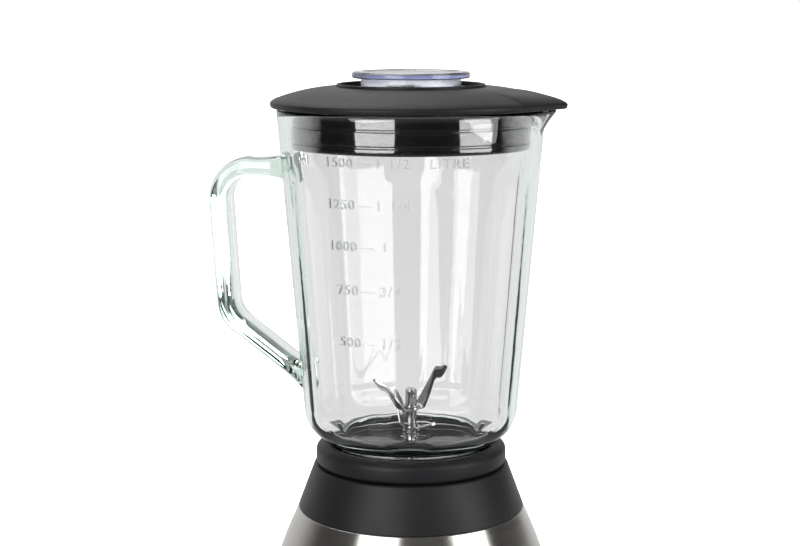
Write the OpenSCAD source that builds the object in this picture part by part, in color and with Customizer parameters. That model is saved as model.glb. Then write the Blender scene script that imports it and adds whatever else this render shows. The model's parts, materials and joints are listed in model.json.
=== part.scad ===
// Countertop blender: glass jug on a bell-shaped steel housing, with a vertical
// motor, a lift-off jug, a lift-off lid and a clear filler cap. Millimetres.
// The origin is on the motor's axis, on the table. Front, with the speed knob,
// is -Y. The handle is at -X and the spout at +X.

/* [Housing] */
// Height of the steel housing's top edge above the table
housing_top = 150; // [125:1:180]
// Radius of the steel housing where it meets the base ring
base_r = 90; // [84:1:110]
// Thickness of the steel housing's sheet
steel_t = 1.2; // [0.8:0.1:2]
// Height of the ledge that carries the steel housing
ledge_z = 28; // [24:1:34]
// Height of the black collar above the steel housing
collar_h = 24.5; // [22:0.5:32]
// How much wider the collar is at its foot than at its top
collar_flare = 9; // [5:0.5:14]
// Height of the rubber foot ring under the bottom plate
foot_h = 4; // [3:0.5:6]
// Width of the rubber foot ring
foot_w = 12; // [9:0.5:16]

/* [Jug] */
// Height of the glass above the ring that holds it
jug_h = 180; // [145:1:220]
// Outer radius of the glass at its rim
jug_rim_r = 72.7; // [66:0.1:88]
// Outer radius of the glass just above its bottom corner
jug_low_r = 58.6; // [54:0.1:64]
// Thickness of the glass wall
glass_t = 5.5; // [4:0.1:7]
// Outer radius of the threaded glass neck
neck_r = 44; // [42:0.5:48]
// Depth of the outside flutes
flute_depth = 4; // [2:0.5:5]
// Radius of a flute's hollow
flute_r = 20; // [15:0.5:24]
// Thickness of the handle, seen from the side
handle_t = 11; // [9:0.5:14]
// Width of the handle across the palm
handle_w = 22; // [18:1:28]
// Space between the glass and the handle's grip
finger_gap = 33; // [26:1:42]

/* [Lid] */
// How far the lid reaches out past the glass rim
lid_overhang = 3.3; // [2:0.1:6]
// Rise of the lid from its rim to its filler hole
lid_rise = 9.2; // [7:0.1:14]
// Depth of the plug that fills the top of the jug
plug_depth = 21; // [16:0.5:28]
// Radius of the filler hole
filler_r = 27.6; // [22:0.1:31]
// How far the filler cap's disc reaches out past the filler hole
cap_overhang = 4.4; // [3:0.1:7]

/* [Blades] */
// Radius that the blade tips sweep
blade_reach = 26; // [20:0.5:34]
// Width of a blade arm at its root
blade_w = 9; // [7:0.5:12]
// Thickness of the blade steel
blade_t = 1.5; // [1:0.1:2]
// Radius of the blade spindle
spindle_r = 3; // [2.5:0.1:4]

/* [Motor] */
// Outer radius of the stator
stator_r = 40; // [36:0.5:46]
// Radius of the armature
armature_r = 21; // [17:0.5:24]
// Radius of the motor shaft
shaft_r = 4; // [3:0.5:5]

/* [Controls] */
// Height of the speed knob's centre above the table
knob_z = 70; // [64:1:80]
// Radius of the speed knob
knob_r = 21; // [16:0.5:24]
// Depth of the speed knob
knob_d = 16; // [10:0.5:22]
// Radius of the bore that the mains cord passes through
cord_bore_r = 3.6; // [3:0.1:4.5]

/* [Hidden] */
$fn = 96;
eps = 0.01;
fit = 0.3;          // clearance between pieces that are put together by hand
run = 0.05;         // radial clearance of a turning shaft in its bush
lip_fit = 0.17;     // clearance of the collar's lip inside the sloping steel
fine = 200;         // facets asked of the largest arcs

// Jug ring and the socket that it sits in
ring_wall = 6.5;
ring_foot_r = neck_r + ring_wall + 1;
ring_r = ring_foot_r + 1;
ring_h = 15.5;
seat_z = housing_top + collar_h;
ring_z = seat_z + fit;
ring_top = ring_z + ring_h;
spigot_h = 11.5;
spigot_r = neck_r + 2.5;
spigot_in_r = 36;
socket_r = spigot_r + fit + 0.2;
socket_floor = seat_z - spigot_h - 2;
floor_t = 3;

// Collar and steel housing
collar_top_r = ring_foot_r + 2;
collar_foot_r = collar_top_r + collar_flare;
arc_run = housing_top - ledge_z;
arc_sag = base_r - collar_foot_r;
arc_r = (arc_run * arc_run + arc_sag * arc_sag) / (2 * arc_sag);
function shell_r(z) = base_r - arc_r + sqrt(arc_r * arc_r - pow(z - ledge_z, 2));
function shell_tilt(z) = asin((z - ledge_z) / arc_r);
collar_t = 2.6;
lip_h = 6;

// Base ring and bottom plate
ring_out_r = base_r + 1.5;
ring_in_r = base_r - 6;
plate_t = 3;
plate_z = foot_h;
plate_r = base_r - 5.5;
plate_top = plate_z + plate_t;
tie_r = 2;
tie_place_r = collar_top_r - 2;
tie_head_r = 4;
tie_head_h = 3;
boss_r = 4.6;
foot_place_r = base_r - 24;
foot_plug_r = 3.8;

// Blade unit, counted up from the seat
ring_flange_z = seat_z - 4;
ring_flange_t = 3.5;
unit_z = ring_flange_z + ring_flange_t;
unit_flange_t = 2.5;
gasket_t = 1.5;
gasket_z = unit_z + unit_flange_t;
neck_z = gasket_z + gasket_t;
neck_in_r = neck_r - glass_t;
unit_plug_r = neck_in_r - 1;
unit_top = neck_z + 7;
unit_t = 3;
hub_r = 5.4;
hub_top = unit_top + 8.2;
hub_nut_h = 4;
hub_nut_r = 6.6;
lower_blade_z = hub_top + 0.8;
spacer_h = 9;
blade_root = 6.5;
upper_bend = 46;
lower_bend = 20;
steep_bend = 58;
upper_turn = 51;
lower_turn = -49;
upper_blade_z = lower_blade_z + blade_t + spacer_h;
washer_t = 1.2;
washer_r = 5.3;
dome_z = upper_blade_z + blade_t + washer_t;
dome_h = 9.5;
dome_r = 3.8;
spindle_top = dome_z + 5;

// Glass
glass_z = ring_top + fit;
jug_top = glass_z + jug_h;
corner_r = 15;
low_z = glass_z + corner_r;
taper = (jug_rim_r - jug_low_r) / (jug_top - low_z);
function glass_r(z) = jug_low_r + taper * (z - low_z);
floor_glass_t = 6;
inner_corner_r = 9.5;
inner_low_z = glass_z + floor_glass_t + inner_corner_r;
flute_step = 360 / 7;
flute_wall = glass_t - 1;
flute_angles = [for (i = [1 : 6]) 180 + i * flute_step];
flute_low_z = glass_z + 21;
flute_top_z = jug_top - 42;
spout_half = 28;
spout_out = 7.5;
spout_drop = 13;
grip_x = jug_rim_r + finger_gap - 3;
handle_top_z = jug_top - 51.8;
handle_low_z = glass_z + 77;
handle_foot_drop = 48.5;
handle_gap_r = 13;

// Lid
lid_r = jug_rim_r + lid_overhang;
lid_z = jug_top + fit;
lid_t = 2.5;
rim_h = 3.3;
lid_top = lid_z + rim_h + lid_rise;
well_r = filler_r + 10.9;
well_rim = 2.5;
well_depth = 4;
well_z = lid_top - well_depth;
seal_r = glass_r(jug_top - plug_depth) - glass_t - 0.45;
seal_t = 2.2;
plug_r = seal_r - seal_t;
beak_tip = lid_r / cos(spout_half) - 1;
beak_nose_r = 8;
beak_lean = 6;
filler_neck_h = 14;

// Filler cap
cap_disc_r = filler_r + cap_overhang;
cap_disc_t = 3;
cap_disc_z = lid_top + 3.6;
cap_skirt_r = filler_r - 0.5;
cap_wall = 2;
cap_low_z = well_z - 11;
cap_step_z = well_z + fit;
cap_step_r = filler_r + 2.2;
cap_step_h = 2.2;

// Couplings between the motor and the blades
drive_sq = 12.6;
driven_sq = drive_sq - 0.8;
coupling_r = 14;
coupling_top = seat_z - 3.5;
coupling_floor = coupling_top - 8.5;
coupling_z = socket_floor - floor_t - 6;
coupling_neck_r = 9.5;
spill_rim_r = 17;

// Motor, stacked down from the collar's floor and up from the bottom plate
bearing_r = 11;
bearing_w = 7;
bracket_t = 3;
upper_bracket_z = socket_floor - floor_t - 16;
lower_bracket_z = plate_top + 26;
fan_h = 11;
fan_z = upper_bracket_z - 6 - fan_h;
fan_r = 28;
core_top = fan_z - 14;
core_z = lower_bracket_z + 34;
core_h = core_top - core_z;
coil_over = 7.5;
winding_over = 7;
slots = 12;
commutator_r = 11;
commutator_z = lower_bracket_z + 11;
commutator_h = 12;
brush_w = 6;
brush_mid_z = commutator_z + commutator_h / 2;
holder_w = brush_w + 2.8;
holder_in_r = bearing_r + 3.5;
holder_out_r = commutator_r + 20;
pole_gap = 0.8;
bore_r = armature_r + pole_gap;
coil_in_r = bore_r + 0.9;
coil_t = 6;
bolt_place_r = stator_r - 5;
bolt_r = 2;
pillar_r = 4.5;
mount_place_r = neck_r - 2;
mount_post_r = 5;
mount_pad_t = 3;
post_low_z = upper_bracket_z + bracket_t + mount_pad_t;

// Speed knob, on an axis square to the steel housing
knob_tilt = shell_tilt(knob_z);
bezel_r = knob_r + 5.5;
bezel_plug_r = knob_r + 2;
bezel_deep = 9;
bezel_front = 2.4;
knob_gap = 0.6;
knob_back = bezel_front + knob_gap;
switch_shaft_r = 3;
switch_w = 28;
switch_deep = 20;
switch_back = bezel_front + switch_deep;
switch_bore = bezel_front + 10;
bush_r = 5;

// Cord inlet at the back of the base ring
cord_z = plate_top + 11;
wire_r = 1.1;
wire_bead = 0.4;
terminal_y = 46;
gland_r = cord_bore_r + 2.2;
gland_flange_r = gland_r + 2.2;
gland_in_y = ring_in_r - 6;
gland_out_y = ring_out_r + 4;

// Interlock under the jug's spigot
lock_angle = 112.5;
spigot_wall = 3;
lock_place_r = spigot_r - spigot_wall / 2;
lock_pin_r = 1.5;
lock_under = socket_floor - floor_t - 2;

black = [0.07, 0.07, 0.08];
steel = [0.72, 0.71, 0.69];
clear = [0.82, 0.92, 0.88, 0.45];
copper = [0.72, 0.4, 0.22];
iron = [0.35, 0.36, 0.38];
rubber = [0.05, 0.05, 0.05];

// A tube or, with no inner radius, a disc between two heights
module tube(r_out, r_in, z1, z2) {
    difference() {
        translate([0, 0, z1]) cylinder(r = r_out, h = z2 - z1);
        if (r_in > 0)
            translate([0, 0, z1 - 1]) cylinder(r = r_in, h = z2 - z1 + 2);
    }
}

// A rectangle of a turned profile, from radius a to b and height z1 to z2
module band(a, b, z1, z2) {
    translate([a, z1]) square([b - a, z2 - z1]);
}

// Copies at each angle, moved out to a radius
module around(angles, r) {
    for (a = angles) rotate([0, 0, a]) translate([r, 0, 0]) children();
}

// Copies at each angle, turned about the motor's axis only
module turned(angles) {
    for (a = angles) rotate([0, 0, a]) children();
}

// Puts children on the knob's axis: z outwards from the steel housing
module on_knob_axis() {
    translate([0, -shell_r(knob_z), knob_z]) rotate([90 - knob_tilt, 0, 0]) children();
}

// A round wire through a list of points, with a bead of slack at each turn
module wire(points, r) {
    last = len(points) - 2;
    for (i = [0 : last]) {
        from = points[i];
        d = points[i + 1] - from;
        length = norm(d);
        translate(from)
            rotate([0, acos(d[2] / length), atan2(d[1], d[0])])
                cylinder(r = r, h = length, $fn = 24);
        if (i < last) translate(points[i + 1]) sphere(r = r + wire_bead, $fn = 24);
    }
}

// ---- Housing ----

// The bell's outer profile, grown outwards by a margin, as a face of revolution
module bell_2d(grow) {
    intersection() {
        translate([base_r - arc_r, ledge_z]) circle(r = arc_r + grow, $fn = fine);
        band(0, base_r + 5, ledge_z, housing_top);
    }
}

module steel_shell() {
    color(steel)
        difference() {
            rotate_extrude() difference() {
                bell_2d(0);
                translate([base_r - arc_r, ledge_z])
                    circle(r = arc_r - steel_t, $fn = fine);
            }
            on_knob_axis() translate([0, 0, -15]) cylinder(r = bezel_plug_r + 0.2, h = 30);
        }
}

module collar_profile() {
    lip_r = shell_r(housing_top) - steel_t / cos(shell_tilt(housing_top)) - lip_fit;
    difference() {
        polygon([
            [socket_r, seat_z], [collar_top_r - 1, seat_z], [collar_top_r, seat_z - 1],
            [collar_foot_r, housing_top], [lip_r, housing_top],
            [lip_r, housing_top - lip_h], [lip_r - collar_t, housing_top - lip_h],
            [lip_r - collar_t, housing_top], [collar_top_r - collar_t, seat_z - 3.5],
            [socket_r + 2, seat_z - 3.5], [socket_r + 2, socket_floor - floor_t],
            [spill_rim_r, socket_floor - floor_t], [spill_rim_r, socket_floor + 2.5],
            [spill_rim_r + 2, socket_floor + 2.5], [spill_rim_r + 2, socket_floor],
            [socket_r, socket_floor]
        ]);
    }
}

module top_collar() {
    under = socket_floor - floor_t;
    color(black)
        difference() {
            union() {
                rotate_extrude() collar_profile();
                around([0, 90, 180, 270], mount_place_r)
                    tube(mount_post_r, 0, post_low_z, under + 1);
                around([45, 135, 225, 315], tie_place_r)
                    tube(boss_r, 0, under - 16, socket_floor + 1);
            }
            around([0, 90, 180, 270], mount_place_r)
                tube(1.6, 0, post_low_z - 1, under - 1);
            around([45, 135, 225, 315], tie_place_r)
                tube(tie_r, 0, under - 17, under + 1);
            rotate([0, 0, lock_angle]) translate([lock_place_r, 0, 0])
                tube(lock_pin_r + run, 0, under - 1, socket_floor + 1);
        }
}

module base_ring() {
    inside = base_r - steel_t - fit;
    color(black)
        difference() {
            rotate_extrude() polygon([
                [plate_r + fit, plate_z], [ring_out_r - 2.5, plate_z],
                [ring_out_r, plate_z + 3], [ring_out_r, ledge_z - 1.2],
                [ring_out_r - 1.2, ledge_z], [inside, ledge_z], [inside, ledge_z + 4],
                [inside - 2.4, ledge_z + 4], [inside - 2.4, plate_top + 2.5],
                [ring_in_r - 4, plate_top + 2.5], [ring_in_r - 4, plate_top],
                [plate_r + fit, plate_top]
            ]);
            translate([0, ring_in_r - 12, cord_z]) rotate([-90, 0, 0])
                cylinder(r = gland_r + 0.15, h = 40);
        }
}

// Rows of ventilation slots, kept between the tie screws and the feet
module vent_slots_2d() {
    for (side = [-1, 1], i = [-4 : 4])
        translate([side * 26, i * 7]) {
            square([30, 3], center = true);
            for (end = [-15, 15]) translate([end, 0]) circle(r = 1.5, $fn = 24);
        }
}

module bottom_plate() {
    color(black)
        difference() {
            union() {
                tube(plate_r, 0, plate_z, plate_top);
                around([45, 135, 225, 315], tie_place_r)
                    tube(boss_r + 2, 0, plate_z, plate_top + 5);
            }
            around([45, 135, 225, 315], tie_place_r) {
                tube(tie_head_r + 0.4, 0, plate_z - 1, plate_z + tie_head_h + 1);
                tube(tie_r + 0.2, 0, plate_z, plate_top + 6);
            }
            around([0, 90, 180, 270], foot_place_r)
                tube(foot_plug_r, 0, plate_z - 1, plate_top + 1);
            translate([0, 0, plate_z - 1]) linear_extrude(plate_t + 2) vent_slots_2d();
        }
}

module foot_ring() {
    color(rubber) {
        tube(foot_place_r + foot_w / 2, foot_place_r - foot_w / 2, 0, foot_h);
        around([0, 90, 180, 270], foot_place_r) {
            tube(foot_plug_r, 0, foot_h - 1, plate_top + 0.5);
            tube(foot_plug_r + 1.2, 0, plate_top, plate_top + 1.6);
        }
    }
}

module tie_screws() {
    top = socket_floor - floor_t;
    head_z = plate_z + 1;
    color(steel)
        around([45, 135, 225, 315], tie_place_r)
            difference() {
                union() {
                    tube(tie_head_r, 0, head_z, head_z + tie_head_h);
                    tube(tie_r, 0, head_z + tie_head_h, top);
                }
                tube(2, 0, head_z - 1, head_z + 1.6, $fn = 6);
            }
}

module cord_gland() {
    inner = ring_in_r + 2.2;
    color(rubber)
        translate([0, 0, cord_z]) rotate([-90, 0, 0])
            difference() {
                union() {
                    tube(gland_r, 0, gland_in_y, gland_out_y);
                    tube(gland_flange_r, 0, ring_out_r + 0.2, ring_out_r + 2.6);
                    tube(gland_flange_r, 0, gland_in_y, gland_in_y + 2.4);
                }
                tube(cord_bore_r, 0, gland_in_y - 1, gland_out_y + 1);
            }
}

module terminal_block() {
    color([0.85, 0.84, 0.8])
        translate([20, terminal_y, plate_top])
            difference() {
                cube([26, 12, 11]);
                for (x = [5, 13, 21]) translate([x, 6, 5]) cylinder(r = 2, h = 8);
            }
}

module suppressor_capacitor() {
    color([0.75, 0.6, 0.12]) translate([-44, terminal_y, plate_top]) cube([22, 12, 14]);
}

// A point on a line square into the switch, at a depth behind the housing
function behind_knob(x, depth) = [
    x, depth * cos(knob_tilt) - shell_r(knob_z), knob_z - depth * sin(knob_tilt)
];

module wiring() {
    low = plate_top + 7;
    side_x = stator_r + 5;
    color([0.2, 0.25, 0.7]) {
        wire([[26, terminal_y, low], [26, terminal_y - 6, low], [24, 0, low + 6],
              [6, -stator_r - 10, low + 10], behind_knob(6, switch_back + 10),
              behind_knob(6, switch_back)], wire_r);
        wire([[44, terminal_y, low], [44, terminal_y - 8, low], [side_x, 20, low + 16],
              [side_x, 0, brush_mid_z], [holder_out_r, 0, brush_mid_z]], wire_r);
        wire([[-42, terminal_y, low], [-42, terminal_y - 8, low], [-side_x, 20, low + 16],
              [-side_x, 0, brush_mid_z], [-holder_out_r, 0, brush_mid_z]], wire_r);
    }
}

// ---- Speed knob and switch ----

module dial_bezel() {
    color(black)
        difference() {
            union() {
                difference() {
                    on_knob_axis() tube(bezel_r, 0, -bezel_deep, bezel_front);
                    rotate_extrude() bell_2d(0.15);
                }
                on_knob_axis() tube(bezel_plug_r, 0, -bezel_deep, bezel_front);
            }
            on_knob_axis() {
                tube(bezel_plug_r - 2.2, 0, -bezel_deep - 1, -bezel_front);
                tube(bush_r, 0, -bezel_deep - 1, bezel_front + 1);
            }
        }
}

module switch_body() {
    color([0.82, 0.8, 0.74])
        on_knob_axis()
            difference() {
                union() {
                    translate([-switch_w / 2, -switch_w / 2, -switch_back])
                        cube([switch_w, switch_w, switch_deep]);
                    tube(bush_r, 0, -bezel_front - 1, bezel_front - 1);
                }
                tube(switch_shaft_r + run, 0, -switch_bore, bezel_front + 1);
            }
}

module switch_shaft() {
    color(steel)
        on_knob_axis() tube(switch_shaft_r, 0, fit - switch_bore, knob_back + knob_d - 5);
}

module speed_knob() {
    grip_count = 20;
    color(black)
        on_knob_axis()
            difference() {
                union() {
                    translate([0, 0, knob_back + 3])
                        cylinder(r1 = knob_r - 0.6, r2 = knob_r - 2.2, h = knob_d - 4.5);
                    translate([0, 0, knob_back + knob_d - 1.5])
                        cylinder(r1 = knob_r - 2.2, r2 = knob_r - 3.7, h = 1.5);
                    tube(knob_r - 1.5, 0, knob_back, knob_back + 3);
                }
                tube(switch_shaft_r, 0, knob_back - 1, knob_back + knob_d - 5);
                translate([0, 0, knob_back + 5])
                    for (i = [0 : grip_count - 1])
                        rotate([0, 0, (i + 0.5) * 360 / grip_count])
                            translate([knob_r - 0.2, 0, 0])
                                rotate([0, -5, 0]) cylinder(r = 1.3, h = knob_d, $fn = 32);
                translate([-1.1, knob_r * 0.35, knob_back + knob_d - 1])
                    cube([2.2, knob_r * 0.42, 3]);
            }
}

module knob_trim() {
    color([0.85, 0.85, 0.86])
        on_knob_axis() tube(knob_r + 0.4, knob_r - 1.5, knob_back, knob_back + 3);
}

module knob_pointer() {
    color([0.92, 0.92, 0.9])
        on_knob_axis()
            translate([-1.1, knob_r * 0.35, knob_back + knob_d - 1])
                cube([2.2, knob_r * 0.42, 1.3]);
}

// ---- Interlock ----

module at_interlock() {
    rotate([0, 0, lock_angle]) translate([lock_place_r, 0, 0]) children();
}

module interlock_switch() {
    color([0.6, 0.1, 0.1])
        at_interlock() {
            translate([-3.2, -8, lock_under - 7]) cube([6.4, 16, 7]);
            for (y = [-8, 5]) translate([-3.2, y, lock_under - 1]) cube([6.4, 3, 3]);
        }
}

module interlock_pin() {
    color([0.9, 0.9, 0.88])
        at_interlock() tube(lock_pin_r, 0, lock_under + fit, ring_z - spigot_h - fit);
}

// ---- Motor, fixed parts ----

// A sector of a ring between two angles
module sector(r_in, r_out, a1, a2, z1, z2) {
    rotate([0, 0, a1]) rotate_extrude(angle = a2 - a1) band(r_in, r_out, z1, z2);
}

module stator_core() {
    color(iron)
        difference() {
            tube(stator_r, 0, core_z, core_top);
            tube(bore_r, 0, core_z - 1, core_top + 1);
            turned([0, 180])
                for (side = [-1, 1])
                    sector(bore_r - 1, coil_in_r + coil_t + 0.5, side > 0 ? 8 : -34,
                           side > 0 ? 34 : -8, core_z - 1, core_top + 1);
            around([45, 135, 225, 315], bolt_place_r)
                tube(bolt_r + 0.2, 0, core_z - 1, core_top + 1);
            turned([0, 180]) translate([stator_r, 0, 0])
                tube(3, 0, core_z - 1, core_top + 1);
        }
}

module field_coils() {
    out_r = coil_in_r + coil_t;
    color(copper)
        turned([0, 180])
            difference() {
                sector(coil_in_r, out_r, 10, 170, core_z - coil_over, core_top + coil_over);
                sector(coil_in_r - 1, out_r + 1, 32, 148, core_z - 0.5, core_top + 0.5);
            }
}

module bracket_pillars(z1, z2) {
    around([45, 135, 225, 315], bolt_place_r) tube(pillar_r, 0, z1, z2);
}

module upper_bracket() {
    top = upper_bracket_z + bracket_t;
    color([0.7, 0.7, 0.72])
        difference() {
            union() {
                tube(stator_r, 0, upper_bracket_z, top);
                tube(bearing_r + 2.5, 0, upper_bracket_z - 3, top + 2.5);
                around([0, 90, 180, 270], mount_place_r) tube(6, 0, upper_bracket_z, top);
                bracket_pillars(core_top, upper_bracket_z + 1);
            }
            tube(bearing_r, 0, upper_bracket_z - 2, top + 5);
            tube(bearing_r - 2, 0, upper_bracket_z - 5, upper_bracket_z);
            around([45, 135, 225, 315], bolt_place_r)
                tube(bolt_r + 0.2, 0, core_top - 1, top + 1);
            around([0, 90, 180, 270], mount_place_r)
                tube(1.8, 0, upper_bracket_z - 1, top + 1);
            around([0, 60, 120, 180, 240, 300], bearing_r + 11)
                tube(5, 0, upper_bracket_z - 1, top + 1);
        }
}

module lower_bracket() {
    top = lower_bracket_z + bracket_t;
    color([0.7, 0.7, 0.72])
        difference() {
            union() {
                intersection() {
                    tube(stator_r, 0, lower_bracket_z, top);
                    union() {
                        for (a = [45, 135]) rotate([0, 0, a])
                            translate([-stator_r, -8, lower_bracket_z])
                                cube([2 * stator_r, 16, bracket_t]);
                        translate([-stator_r, -8, lower_bracket_z])
                            cube([2 * stator_r, 16, bracket_t]);
                        tube(bearing_r + 6, 0, lower_bracket_z, top);
                    }
                }
                tube(bearing_r + 2.5, 0, lower_bracket_z - 2.5, top + 3);
                bracket_pillars(lower_bracket_z, core_z);
            }
            tube(bearing_r, 0, lower_bracket_z - 3.5, top + 1.5);
            tube(bearing_r - 2, 0, top + 1, top + 4);
            around([45, 135, 225, 315], bolt_place_r)
                tube(bolt_r + 0.2, 0, lower_bracket_z - 1, core_z + 1);
        }
}

module motor_bolts() {
    top = upper_bracket_z + bracket_t;
    color(steel)
        around([45, 135, 225, 315], bolt_place_r) {
            tube(bolt_r, 0, lower_bracket_z - 4, top);
            tube(3.5, 0, top, top + 2.4);
            tube(3.6, 0, lower_bracket_z - 3, lower_bracket_z, $fn = 6);
        }
}

module bearing(z) {
    tube(bearing_r, bearing_r - 2.2, z, z + bearing_w);
    tube(shaft_r + 2, shaft_r + run, z, z + bearing_w);
    tube(bearing_r - 2.2, shaft_r + 2, z + 1.2, z + bearing_w - 1.2);
}

module bearings() {
    color([0.8, 0.8, 0.8]) {
        bearing(upper_bracket_z - 2);
        bearing(lower_bracket_z + bracket_t + 1 - bearing_w);
    }
}

module mount_pads() {
    color(rubber)
        around([0, 90, 180, 270], mount_place_r)
            tube(mount_post_r, 1.8, upper_bracket_z + bracket_t, post_low_z);
}

module mount_screws() {
    color(steel)
        around([0, 90, 180, 270], mount_place_r) {
            tube(1.6, 0, upper_bracket_z, socket_floor - floor_t - 1);
            tube(3.2, 0, upper_bracket_z - 2.4, upper_bracket_z);
        }
}

module brush_holders() {
    low = lower_bracket_z + bracket_t;
    color([0.78, 0.6, 0.3])
        turned([0, 180])
            difference() {
                translate([holder_in_r, -holder_w / 2, low])
                    cube([holder_out_r - holder_in_r, holder_w, brush_mid_z + holder_w / 2 - low]);
                translate([holder_in_r - 1, -brush_w / 2 - 0.1, brush_mid_z - brush_w / 2 - 0.1])
                    cube([holder_out_r - holder_in_r - 0.5, brush_w + 0.2, brush_w + 0.2]);
            }
}

module carbon_brushes() {
    color([0.12, 0.12, 0.12])
        turned([0, 180])
            difference() {
                translate([commutator_r - 2, -brush_w / 2, brush_mid_z - brush_w / 2])
                    cube([12, brush_w, brush_w]);
                tube(commutator_r + run, 0, commutator_z - 1, commutator_z + commutator_h + 1);
            }
}

module brush_springs() {
    turns = 5;
    start = commutator_r + 10;
    pitch = 1.45;
    color(steel)
        turned([0, 180])
            translate([start, 0, brush_mid_z]) rotate([0, 90, 0]) {
                for (i = [0 : turns - 1])
                    translate([0, 0, 0.6 + i * pitch])
                        rotate_extrude() translate([2, 0]) circle(r = 0.45, $fn = 24);
                for (side = [-1, 1])
                    translate([0, side * 2, 0.6]) cylinder(r = 0.3, h = (turns - 1) * pitch);
            }
}

// ---- Motor, turning parts ----

module motor_shaft() {
    color(steel) tube(shaft_r, 0, lower_bracket_z - 4, coupling_floor - 1.5);
}

module armature_core() {
    color(iron)
        difference() {
            tube(armature_r, shaft_r, core_z, core_top);
            for (i = [0 : slots - 1])
                rotate([0, 0, i * 360 / slots])
                    translate([armature_r - 6, -1.6, core_z - 1])
                        cube([8, 3.2, core_h + 2]);
        }
}

module armature_windings() {
    r_out = armature_r - 2.2;
    color(copper) {
        tube(r_out, shaft_r + 2, core_z - winding_over, core_z);
        tube(r_out, shaft_r + 2, core_top, core_top + winding_over);
        for (i = [0 : slots - 1])
            rotate([0, 0, i * 360 / slots])
                translate([armature_r - 5.9, -1.4, core_z - 1]) cube([3.5, 2.8, core_h + 2]);
    }
}

module commutator() {
    bars = 24;
    color(copper)
        difference() {
            tube(commutator_r, shaft_r, commutator_z, commutator_z + commutator_h);
            for (i = [0 : bars - 1])
                rotate([0, 0, (i + 0.5) * 360 / bars])
                    translate([commutator_r - 1, -0.2, commutator_z - 1])
                        cube([3, 0.4, commutator_h + 2]);
        }
}

module cooling_fan() {
    vanes = 11;
    color([0.15, 0.15, 0.16]) {
        tube(fan_r, shaft_r, fan_z, fan_z + 1.6);
        tube(9, shaft_r, fan_z, fan_z + fan_h);
        for (i = [0 : vanes - 1])
            rotate([0, 0, i * 360 / vanes])
                translate([8, -0.8, fan_z]) cube([fan_r - 9, 1.6, fan_h - 1.5]);
    }
}

module drive_coupling() {
    color([0.12, 0.12, 0.13])
        difference() {
            union() {
                tube(coupling_r, 0, socket_floor - 1, coupling_top);
                tube(coupling_neck_r, 0, coupling_z, socket_floor);
            }
            translate([-drive_sq / 2, -drive_sq / 2, coupling_floor])
                cube([drive_sq, drive_sq, 20]);
            tube(shaft_r, 0, coupling_z - 1, coupling_floor - 1.5);
        }
}

// ---- Jug ----

// Follows the glass wall: z up the wall, x outwards, from the bottom corner
module along_wall(angle, inset) {
    rotate([0, 0, angle])
        translate([glass_r(flute_low_z) + flute_r - inset, 0, flute_low_z])
            rotate([0, atan(taper), 0]) children();
}

// A flute's hollow: a round-ended rod, laid along the wall
module flute_rod(r) {
    length = flute_top_z - flute_low_z;
    sphere(r = r);
    cylinder(r = r, h = length);
    translate([0, 0, length]) sphere(r = r);
}

// The space for pouring at the spout, as a three-sided pit with its point down
module spout_pit(out, drop, top) {
    a = spout_half;
    r = jug_rim_r - out;
    polyhedron(
        points = [
            [r * cos(a), r * sin(a), top], [r * cos(a), -r * sin(a), top],
            [jug_rim_r + spout_out - out, 0, top], [r * 0.5, 0, top],
            [r - 2.5, 0, jug_top - drop]
        ],
        faces = [[3, 0, 2, 1], [0, 4, 2], [2, 4, 1], [3, 4, 0], [1, 4, 3]]
    );
}

module glass_outer() {
    rotate_extrude() {
        intersection() {
            band(0, jug_rim_r, glass_z, low_z);
            union() {
                translate([glass_r(low_z) - corner_r, low_z]) circle(r = corner_r);
                band(0, glass_r(low_z) - corner_r, glass_z, low_z);
            }
        }
        polygon([
            [0, low_z], [glass_r(low_z), low_z],
            [jug_rim_r - 0.1, jug_top - 1.2], [jug_rim_r - 1.4, jug_top], [0, jug_top]
        ]);
    }
    tube(neck_r, 0, neck_z, glass_z + 1);
}

module glass_cavity() {
    in_low = glass_r(inner_low_z) - glass_t;
    rotate_extrude() {
        intersection() {
            band(0, jug_rim_r, glass_z + floor_glass_t, inner_low_z);
            union() {
                translate([in_low - inner_corner_r, inner_low_z]) circle(r = inner_corner_r);
                band(0, in_low - inner_corner_r, glass_z + floor_glass_t, inner_low_z);
            }
        }
        polygon([
            [0, inner_low_z], [in_low, inner_low_z],
            [glass_r(jug_top) - glass_t, jug_top + eps], [0, jug_top + eps]
        ]);
    }
}

module handle_2d() {
    wall_x = 20;
    reach = grip_x - handle_gap_r;
    lean = 3.5;
    core = [
        [-wall_x, handle_top_z], [-reach, handle_top_z],
        [-reach + lean, handle_low_z], [-wall_x, handle_low_z - handle_foot_drop]
    ];
    difference() {
        offset(r = handle_gap_r + handle_t, $fn = 64) polygon(core);
        offset(r = handle_gap_r, $fn = 64) polygon(core);
    }
}

module glass_jug() {
    color(clear)
        difference() {
            union() {
                glass_outer();
                difference() {
                    rotate([90, 0, 0]) translate([0, 0, -handle_w / 2])
                        linear_extrude(handle_w) handle_2d();
                    tube(glass_r(handle_low_z) - 2, 0, glass_z - 20, jug_top + 20);
                }
                spout_pit(0, spout_drop, jug_top);
            }
            for (a = flute_angles) along_wall(a, flute_depth) flute_rod(flute_r);
            difference() {
                glass_cavity();
                for (a = flute_angles) along_wall(a, flute_depth) flute_rod(flute_r + flute_wall);
            }
            spout_pit(glass_t, spout_drop - glass_t, jug_top + 1);
            tube(neck_in_r, 0, neck_z - 1, glass_z + floor_glass_t + 1);
        }
}

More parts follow.
